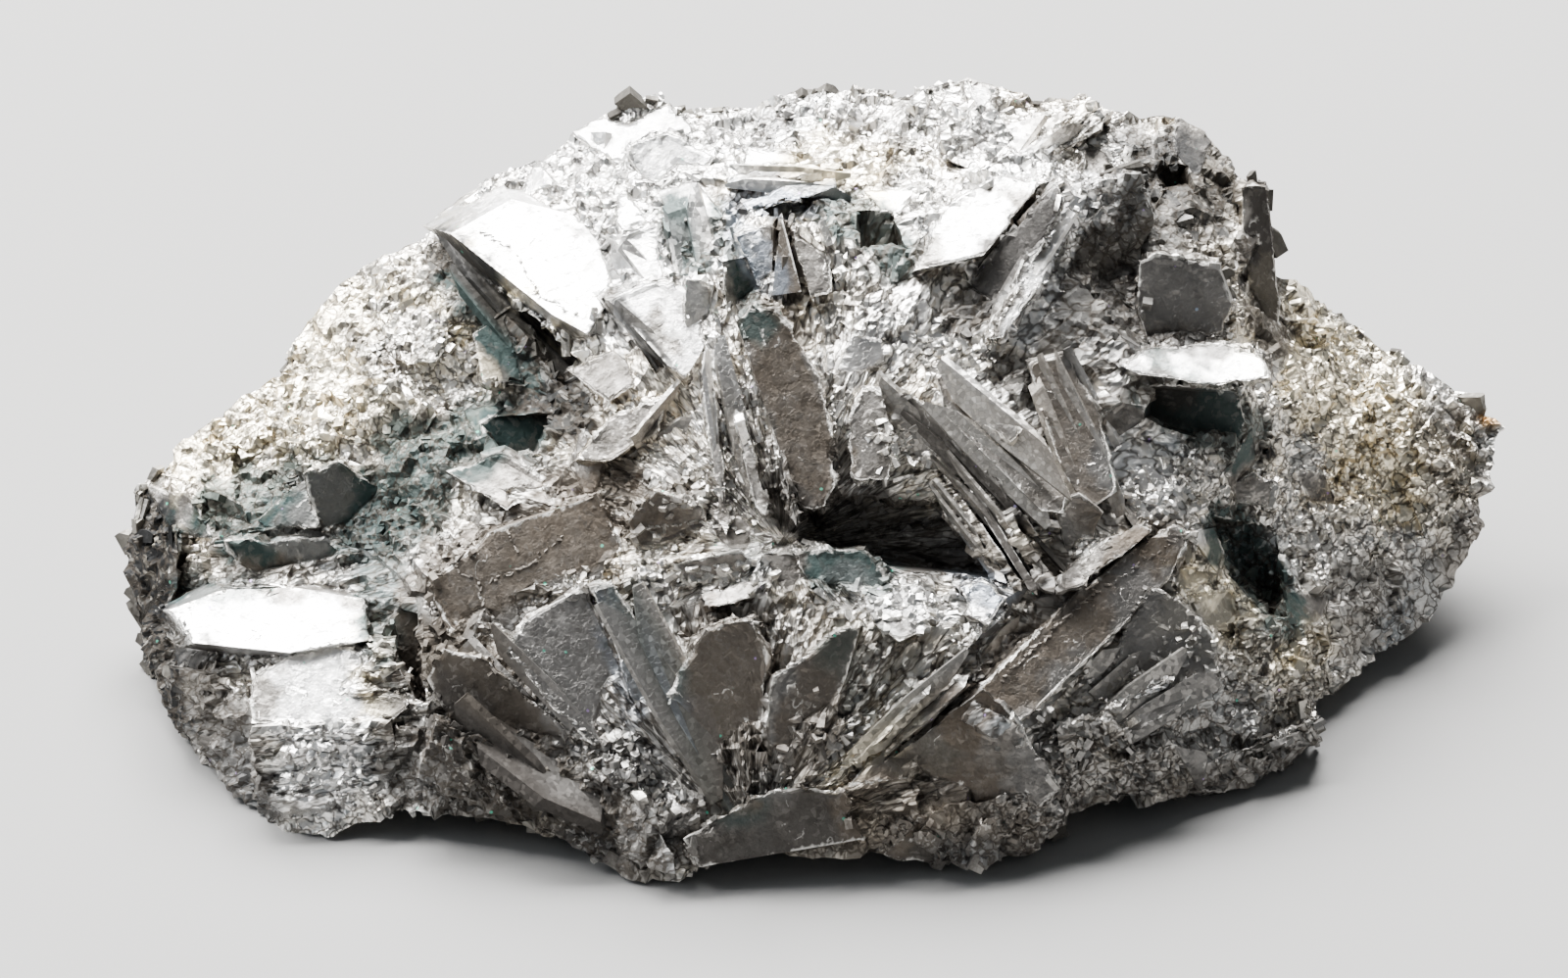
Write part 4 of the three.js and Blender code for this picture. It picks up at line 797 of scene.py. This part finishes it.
def lump_places(surface, seed):
    rng = random.Random(seed)
    places = []
    for (across, up), (wide, high), count in GRAIN_LUMPS:
        for _ in range(count):
            point, normal = surface.seen_at(rng.gauss(across, wide / 2), rng.gauss(up, high / 2))
            if point is None:
                continue
            grow = rng.uniform(0.2, 0.6)
            upward = (normal + UP * 0.6).normalized()
            along = Vector([rng.gauss(0, 1) for _ in range(3)])
            size = (grow * rng.uniform(1.0, 1.6), grow, grow)
            matrix = laid(point - normal * 0.05, upward, along, 0.4, size, rng)
            # tones kept in the paler half: a painted highlight on the lumps
            places.append((rng.randrange(100), matrix, 0.5 + 0.5 * rng.random()))
    return places


# ---- materials ----
def group(name, inputs, outputs):
    """An empty shader group with named sockets, with its own input and output nodes."""
    tree = bpy.data.node_groups.new(name, "ShaderNodeTree")
    for label, kind, value in inputs:
        socket = tree.interface.new_socket(label, in_out="INPUT", socket_type=kind)
        if value is not None:
            socket.default_value = value
    for label, kind in outputs:
        tree.interface.new_socket(label, in_out="OUTPUT", socket_type=kind)
    return tree, tree.nodes.new("NodeGroupInput"), tree.nodes.new("NodeGroupOutput")


def feed(tree, socket, value):
    """Links another node's output to the socket, or sets the socket's own value."""
    if isinstance(value, bpy.types.NodeSocket):
        tree.links.new(value, socket)
    else:
        socket.default_value = value


def add(tree, kind, links=None, **settings):
    """A node with its settings, and what feeds its inputs, by name or number."""
    node = tree.nodes.new(kind)
    for key, value in settings.items():
        setattr(node, key, value)
    for key, value in (links or {}).items():
        feed(tree, node.inputs[key], value)
    return node


def use(tree, shared, **links):
    return add(tree, "ShaderNodeGroup", links, node_tree=shared)


def in_millimetres(tree, place):
    links = {0: place, "Scale": 1 / MM}
    return add(tree, "ShaderNodeVectorMath", links, operation="SCALE").outputs[0]


def maths(tree, operation, a, b=0.0, c=0.0):
    return add(tree, "ShaderNodeMath", {0: a, 1: b, 2: c}, operation=operation).outputs[0]


def blend(tree, factor, a, b):
    return add(tree, "ShaderNodeMix", {0: factor, 6: a, 7: b}, data_type="RGBA").outputs[2]


def ranged(tree, value, low, high, to_low=0.0, to_high=1.0):
    names = {"Value": value, "From Min": low, "From Max": high, "To Min": to_low, "To Max": to_high}
    return add(tree, "ShaderNodeMapRange", names).outputs["Result"]


def facet_group():
    """Cells that each tilt their own way, for a crushed and glinting metal. Places are in mm."""
    tree, given, made = group(
        "crushed facets",
        [("Place", "NodeSocketVector", None), ("Cells", "NodeSocketFloat", 1.5)],
        [(label, "NodeSocketFloat") for label in ("Height", "Crevice", "Tone")],
    )
    place, scale = given.outputs[:2]
    cell = add(tree, "ShaderNodeTexVoronoi", {"Vector": place, "Scale": scale})
    border = add(
        tree, "ShaderNodeTexVoronoi", {"Vector": place, "Scale": scale}, feature="DISTANCE_TO_EDGE"
    )
    inside = add(
        tree, "ShaderNodeVectorMath", {0: place, 1: cell.outputs["Position"]}, operation="SUBTRACT"
    ).outputs[0]
    lean = add(
        tree,
        "ShaderNodeVectorMath",
        {0: cell.outputs["Color"], 1: (0.5, 0.5, 0.5)},
        operation="SUBTRACT",
    ).outputs[0]
    tilt = add(
        tree, "ShaderNodeVectorMath", {0: inside, 1: lean}, operation="DOT_PRODUCT"
    ).outputs["Value"]
    tree.links.new(tilt, made.inputs["Height"])
    # a mask along the cell borders, which the materials paint in as shade
    crevice = ranged(tree, border.outputs["Distance"], 0.03, 0.13, 1.0, 0.0)
    tree.links.new(crevice, made.inputs["Crevice"])
    tone = add(tree, "ShaderNodeSeparateColor", {"Color": cell.outputs["Color"]}).outputs[1]
    tree.links.new(tone, made.inputs["Tone"])
    return tree


def growth_group():
    """Low steps with curved edges, as crystal faces have where they grew in layers."""
    tree, given, made = group(
        "growth steps",
        [("Place", "NodeSocketVector", None), ("Steps", "NodeSocketFloat", 7.0)],
        [(label, "NodeSocketFloat") for label in ("Height", "Mottle", "Ridge")],
    )
    place, steps = given.outputs[:2]
    slow = add(
        tree,
        "ShaderNodeTexNoise",
        {"Vector": place, "Scale": 210.0, "Detail": 4.0, "Roughness": 0.5, "Distortion": 0.3},
    )
    many = maths(tree, "MULTIPLY", slow.outputs["Fac"], steps)
    layered = maths(tree, "FLOOR", many)
    mottle = add(
        tree,
        "ShaderNodeTexNoise",
        {"Vector": place, "Scale": 480.0, "Detail": 5.0, "Roughness": 0.72},
    ).outputs["Fac"]
    height = maths(tree, "MULTIPLY_ADD", mottle, 2.6, layered)
    tree.links.new(height, made.inputs["Height"])
    tree.links.new(mottle, made.inputs["Mottle"])
    line = ranged(tree, maths(tree, "FRACT", many), 0.0, 0.08, 1.0, 0.0)
    kept = ranged(tree, mottle, 0.57, 0.63)
    tree.links.new(maths(tree, "MULTIPLY", line, kept), made.inputs["Ridge"])
    return tree


crushed = facet_group()
layers = growth_group()


def new_material(name):
    material = bpy.data.materials.new(name)
    material.use_nodes = True
    tree = material.node_tree
    shader = tree.nodes["Principled BSDF"]
    return material, tree, shader


def attribute(tree, name, output="Fac"):
    return add(tree, "ShaderNodeAttribute", attribute_name=name).outputs[output]


# The metal's own colours: fresh grain, patches where it is warmer or cooler, crystal faces, and the
# few flecks that shine in colours; and a dark colour for painted shade in crevices and recesses,
# for dark pits, and on the chips for grime
PALE = (0.98, 0.95, 0.89, 1)
SILVER = (0.74, 0.7, 0.64, 1)
WARM = (0.95, 0.84, 0.66, 1)
COOL = (0.66, 0.72, 0.76, 1)
CREVICE_SHADE_AND_GRIME = (0.06, 0.05, 0.04, 1)
PLATE = (0.32, 0.3, 0.275, 1)
PLATE_DARK = (0.12, 0.11, 0.098, 1)
FLECK_GREEN = (0.12, 0.7, 0.48, 1)
FLECK_VIOLET = (0.62, 0.4, 0.85, 1)

# Cells per millimetre
COARSE_CELLS = 1.5
FINE_CELLS = 3.6
CHIP_CELLS = 4.0
FLECK_CELLS = 4.5
FLECK_SHARE = 0.0035  # of the fleck cells that shine

# Roughness under dark stains, and how much light tarnish throws back
DULL_GROUND = 0.6
DULL_CHIPS = 0.7
TARNISH_SHEEN = 0.1


def paleness(tree, stain_and_painted_light):
    """How pale the colour of the stains and painted light is, by its green."""
    return add(tree, "ShaderNodeSeparateColor", {"Color": stain_and_painted_light.outputs["Color"]}).outputs[1]


def dullness(tree, stain_and_painted_light):
    """How far the stains and painted shade roughen the metal: more where they are dark."""
    dark = ranged(tree, paleness(tree, stain_and_painted_light), 0.05, 0.3, 1.0, 0.0)
    return maths(tree, "MULTIPLY", stain_and_painted_light.outputs["Alpha"], dark)


def bare_metal(tree, stain_and_painted_light):
    """How metallic it stays: the darkest tarnish and painted shade hide the metal."""
    hidden = ranged(tree, paleness(tree, stain_and_painted_light), 0.02, 0.12, 0.9, 0.0)
    lost = maths(tree, "MULTIPLY", stain_and_painted_light.outputs["Alpha"], -1.0)
    return maths(tree, "MULTIPLY_ADD", hidden, lost, 1.0)


def body_metal():
    """Bright crushed ground, and darker, smoother crystal faces with paler sharp edges and growth
    ridges, under stains, painted highlights and painted shade.
    """
    material, tree, shader = new_material("granular_metal")
    place = add(tree, "ShaderNodeTexCoord").outputs["Object"]
    fabric = attribute(tree, "fabric", "Vector")
    ground = attribute(tree, "ground")
    open_air = attribute(tree, "open_air")
    sharp = attribute(tree, "sharp")
    calm = attribute(tree, "calm")
    stain_and_painted_light = add(tree, "ShaderNodeAttribute", attribute_name="stain_and_painted_light")

    # crumpled ground that runs along the crystals, and growth steps on their faces
    run = add(tree, "ShaderNodeMix", {0: ranged(tree, ground, 0.4, 0.5)}, data_type="VECTOR")
    tree.links.new(in_millimetres(tree, place), run.inputs[4])
    tree.links.new(fabric, run.inputs[5])
    run = run.outputs[1]
    wave = add(tree, "ShaderNodeTexNoise", {"Vector": run, "Scale": 1.6, "Detail": 2.0})
    crumpled = add(
        tree, "ShaderNodeVectorMath", {0: wave.outputs["Color"], 1: run}, operation="ADD"
    ).outputs[0]
    coarse = use(tree, crushed, Place=crumpled, Cells=COARSE_CELLS)
    fine = use(tree, crushed, Place=crumpled, Cells=FINE_CELLS)
    steps = use(tree, layers, Place=place, Steps=6.0)

    # grain and crystal faces, stains with painted highlights and shade over them, then painted
    # shade in crevices and dark pits, paler edges and ridges, and painted shade in recesses
    grain = blend(tree, coarse.outputs["Tone"], SILVER, PALE)
    slow = add(tree, "ShaderNodeTexNoise", {"Vector": place, "Scale": 170.0, "Detail": 3.0})
    grain = blend(tree, ranged(tree, slow.outputs["Fac"], 0.5, 0.66, 0.0, 0.7), grain, WARM)
    grain = blend(tree, ranged(tree, slow.outputs["Fac"], 0.44, 0.3, 0.0, 0.7), grain, COOL)
    # painted shade along the cell borders, and random cells made dark as pits
    crevice_shade_and_pits = maths(tree, "MULTIPLY", coarse.outputs["Crevice"], 0.8)
    pits = ranged(tree, fine.outputs["Tone"], 0.08, 0.2, 0.7, 0.0)
    pits = maths(tree, "MULTIPLY", pits, maths(tree, "MULTIPLY_ADD", calm, -0.8, 1.0))
    crevice_shade_and_pits = maths(tree, "MAXIMUM", crevice_shade_and_pits, pits)
    mottled = ranged(tree, steps.outputs["Mottle"], 0.4, 0.62)
    plate = blend(tree, mottled, PLATE_DARK, PLATE)
    broken = maths(tree, "MULTIPLY_ADD", steps.outputs["Mottle"], 0.6, ground)
    granular = ranged(tree, broken, 0.6, 0.9)
    colour = blend(tree, granular, plate, grain)
    glint = ranged(tree, fine.outputs["Tone"], 0.7, 1.0, 1.0, 0.7)
    glint = maths(tree, "MULTIPLY", stain_and_painted_light.outputs["Alpha"], glint)
    # the stains, with their painted highlights and painted shade
    colour = blend(tree, glint, colour, stain_and_painted_light.outputs["Color"])
    colour = blend(tree, maths(tree, "MULTIPLY", crevice_shade_and_pits, granular), colour, CREVICE_SHADE_AND_GRIME)
    # paler along sharp outward edges and along growth ridges
    paler_edges_and_ridges = maths(tree, "MULTIPLY", sharp, ranged(tree, steps.outputs["Mottle"], 0.42, 0.56))
    paler_edges_and_ridges = ranged(tree, paler_edges_and_ridges, 0.4, 0.85)
    bare = maths(tree, "SUBTRACT", 1.0, granular)
    paler_edges_and_ridges = maths(tree, "MAXIMUM", paler_edges_and_ridges, maths(tree, "MULTIPLY", steps.outputs["Ridge"], bare))
    colour = blend(tree, maths(tree, "MULTIPLY", paler_edges_and_ridges, 0.8), colour, PALE)
    # how much painted highlight the stains lay here
    painted_highlight_share = ranged(tree, paleness(tree, stain_and_painted_light), 0.5, 0.9)
    painted_highlight_share = maths(tree, "MULTIPLY", painted_highlight_share, stain_and_painted_light.outputs["Alpha"])
    # painted shade in recesses, weaker under a painted highlight
    painted_recess_shade = ranged(tree, open_air, 0.15, 0.55, 0.9, 0.0)
    painted_recess_shade = maths(tree, "MULTIPLY", painted_recess_shade, maths(tree, "MULTIPLY_ADD", painted_highlight_share, -0.8, 1.0))
    colour = blend(tree, painted_recess_shade, colour, CREVICE_SHADE_AND_GRIME)

    # a few flecks that shine in colours
    spots = add(
        tree, "ShaderNodeTexVoronoi", {"Vector": in_millimetres(tree, place), "Scale": FLECK_CELLS}
    )
    chosen = add(tree, "ShaderNodeSeparateColor", {"Color": spots.outputs["Color"]})
    fleck = maths(tree, "GREATER_THAN", chosen.outputs[0], 1 - FLECK_SHARE)
    round_fleck = ranged(tree, spots.outputs["Distance"], 0.3, 0.45, 0.6, 0.0)
    fleck = maths(tree, "MULTIPLY", fleck, round_fleck)
    hue = blend(tree, ranged(tree, chosen.outputs[1], 0.55, 0.6), FLECK_GREEN, FLECK_VIOLET)
    colour = blend(tree, fleck, colour, hue)
    tree.links.new(colour, shader.inputs["Base Color"])

    # roughness and metal
    rough_grain = ranged(tree, fine.outputs["Tone"], 0.0, 1.0, 0.28, 0.46)
    rough_plate = ranged(tree, steps.outputs["Mottle"], 0.35, 0.65, 0.52, 0.34)
    rough = add(tree, "ShaderNodeMix", {0: granular})
    tree.links.new(rough_plate, rough.inputs[2])
    tree.links.new(rough_grain, rough.inputs[3])
    tarnished = add(
        tree, "ShaderNodeMix", {0: dullness(tree, stain_and_painted_light), 2: rough.outputs[0], 3: DULL_GROUND}
    )
    tree.links.new(tarnished.outputs[0], shader.inputs["Roughness"])
    tree.links.new(bare_metal(tree, stain_and_painted_light), shader.inputs["Metallic"])
    shader.inputs["Specular IOR Level"].default_value = TARNISH_SHEEN

    # relief: facets on the ground, low terraces on the crystal faces
    finer = maths(tree, "MULTIPLY_ADD", calm, -0.75, 1.1)
    height = maths(tree, "MULTIPLY_ADD", fine.outputs["Height"], finer, coarse.outputs["Height"])
    height = maths(tree, "MULTIPLY", height, maths(tree, "MULTIPLY_ADD", painted_highlight_share, -0.22, 0.5))
    height = maths(tree, "MULTIPLY", height, maths(tree, "MULTIPLY_ADD", granular, 0.72, 0.28))
    terraces = maths(tree, "MULTIPLY_ADD", steps.outputs["Ridge"], 1.2, steps.outputs["Height"])
    terraces = maths(tree, "MULTIPLY", terraces, 0.03)
    height = maths(tree, "MULTIPLY_ADD", terraces, bare, height)
    height = maths(tree, "MULTIPLY", height, MM)
    bump = add(tree, "ShaderNodeBump", {"Height": height, "Distance": 1.0, "Strength": 1.0})
    tree.links.new(bump.outputs["Normal"], shader.inputs["Normal"])
    return material


def chip_metal(name, pale, dark, rough):
    """Small crystals, each with its own tone, a little tarnished, with painted shade along their
    facet borders and the painted highlights and shade of the stains.
    """
    material, tree, shader = new_material(name)
    place = add(tree, "ShaderNodeTexCoord").outputs["Object"]
    steps = use(tree, layers, Place=place, Steps=14.0)
    facets = use(tree, crushed, Place=in_millimetres(tree, place), Cells=CHIP_CELLS)
    stain_and_painted_light = add(tree, "ShaderNodeAttribute", attribute_name="stain_and_painted_light")
    colour = blend(tree, attribute(tree, "tone"), dark, pale)
    # painted shade along the facet borders
    crevice_shade_lines = maths(tree, "MULTIPLY", facets.outputs["Crevice"], 0.25)
    colour = blend(tree, crevice_shade_lines, colour, CREVICE_SHADE_AND_GRIME)
    worn = ranged(tree, steps.outputs["Mottle"], 0.3, 0.6, 0.35, 0.0)
    colour = blend(tree, worn, colour, CREVICE_SHADE_AND_GRIME)
    # the stains, with their painted highlights and painted shade
    colour = blend(tree, stain_and_painted_light.outputs["Alpha"], colour, stain_and_painted_light.outputs["Color"])
    tree.links.new(colour, shader.inputs["Base Color"])
    rougher = ranged(tree, steps.outputs["Mottle"], 0.3, 0.7, rough + 0.15, rough)
    tarnished = add(tree, "ShaderNodeMix", {0: dullness(tree, stain_and_painted_light), 2: rougher, 3: DULL_CHIPS})
    tree.links.new(tarnished.outputs[0], shader.inputs["Roughness"])
    terraces = maths(tree, "MULTIPLY", steps.outputs["Height"], 0.000012)
    height = maths(tree, "MULTIPLY_ADD", facets.outputs["Height"], 0.00035, terraces)
    bump = add(tree, "ShaderNodeBump", {"Height": height, "Distance": 1.0})
    tree.links.new(bump.outputs["Normal"], shader.inputs["Normal"])
    tree.links.new(bare_metal(tree, stain_and_painted_light), shader.inputs["Metallic"])
    shader.inputs["Specular IOR Level"].default_value = TARNISH_SHEEN
    return material


ground_metal = body_metal()
bright_chips = chip_metal("bright_chips", PALE, SILVER, 0.26)
blade_metal = chip_metal("blade_metal", SILVER, PLATE, 0.34)

# ---- the pieces ----
body = body_mesh("pyrite_cluster")
surface = Surface(body)
ground_piece = finished("granular_mass", in_metres("granular_mass", body), ground_metal)
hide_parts("pyrite_cluster")

chips = [shape_of(cut_crystal((1.0, 0.75, 0.5), 3, seed)) for seed in range(8)]
blades = [shape_of(blade(seed)) for seed in range(6)]
facing = surface.normals @ np.array(OUT)
ground_faces = 1 - surface.crystal
upright = surface.normals[:, 2] > FACING_DOWN
exposed = ground_faces * upright * (1 - 0.85 * surface.calm)
show_side = exposed * (facing > TURNED_AWAY)
back_side = exposed * (facing <= TURNED_AWAY)

outside_fans = show_side * (1 - surface.fan)
in_fans = show_side * (surface.fan * (1 - 0.8 * surface.plates))
show_grain = grain_places(surface, 2700, outside_fans, seed=11, size=0.5, lean=0.13, order=0.3)
show_grain += grain_places(surface, 900, in_fans, seed=12, size=0.36, lean=0.13, order=1.8)
strewn("show_side_chips", chips, show_grain, bright_chips, lying=True)
back_grain = grain_places(surface, 2400, back_side, seed=13, size=0.65, lean=0.15, order=0.3)
strewn("back_chips", chips, back_grain, bright_chips, lying=True)
strewn("blade_stacks", blades, stack_places(surface, 21), blade_metal)
strewn("broken_ridges", chips, ridge_places(surface, 31), bright_chips)
strewn("grain_lumps", chips, lump_places(surface, 41), bright_chips)

# ---- floor, light and camera ----
FLOOR_GREY = (0.27, 0.266, 0.26, 1)
FLOOR_REACH = 1.5  # metres from the middle
LIGHTS_AWAY = 0.7  # metres
COOL_LIGHT = (0.85, 0.92, 1)
STUDIO_COLOUR = (0.75, 0.8, 0.85, 1)
STUDIO_STRENGTH = 0.23
VIEW_DISTANCE = 700
LENS = 315
SENSOR = 36
AIM = on_layout(-1.5, -0.7)

floor_bm = bmesh.new()
bmesh.ops.create_grid(floor_bm, x_segments=1, y_segments=1, size=FLOOR_REACH)
floor_mesh = bpy.data.meshes.new("floor")
floor_bm.to_mesh(floor_mesh)
floor_bm.free()
floor = new_object("floor", floor_mesh)
floor_material, _, floor_shader = new_material("pale_floor")
floor_shader.inputs["Base Color"].default_value = FLOOR_GREY
floor_shader.inputs["Roughness"].default_value = 0.9
floor_mesh.materials.append(floor_material)


def softbox(name, direction, size, power, colour=(1, 1, 1)):
    """A rectangular light that faces the part from this direction."""
    light = bpy.data.lights.new(name, "AREA")
    light.shape = "RECTANGLE"
    light.size, light.size_y = size
    light.energy = power
    light.color = colour
    lamp = new_object(name, light)
    direction = Vector(direction).normalized()
    lamp.location = direction * LIGHTS_AWAY
    lamp.rotation_euler = direction.to_track_quat("Z", "Y").to_euler()


softbox("key_behind", (-0.08, 0.63, 0.77), (0.55, 0.46), 40)
softbox("top_left", (-0.62, 0.3, 0.72), (0.36, 0.36), 14)
softbox("fill_left", (-0.9, -0.1, 0.5), (0.3, 0.3), 1, COOL_LIGHT)

world = bpy.data.worlds.new("studio")
world.use_nodes = True
glow = world.node_tree.nodes["Background"]
glow.inputs["Color"].default_value = STUDIO_COLOUR
glow.inputs["Strength"].default_value = STUDIO_STRENGTH
bpy.context.scene.world = world

camera_data = bpy.data.cameras.new("camera")
camera_data.lens = LENS
camera_data.sensor_width = SENSOR
camera = new_object("camera", camera_data)
turn = Matrix((ACROSS, UP, OUT)).transposed()
camera.matrix_world = Matrix.Translation((AIM + OUT * VIEW_DISTANCE) * MM) @ turn.to_4x4()
bpy.context.scene.camera = camera
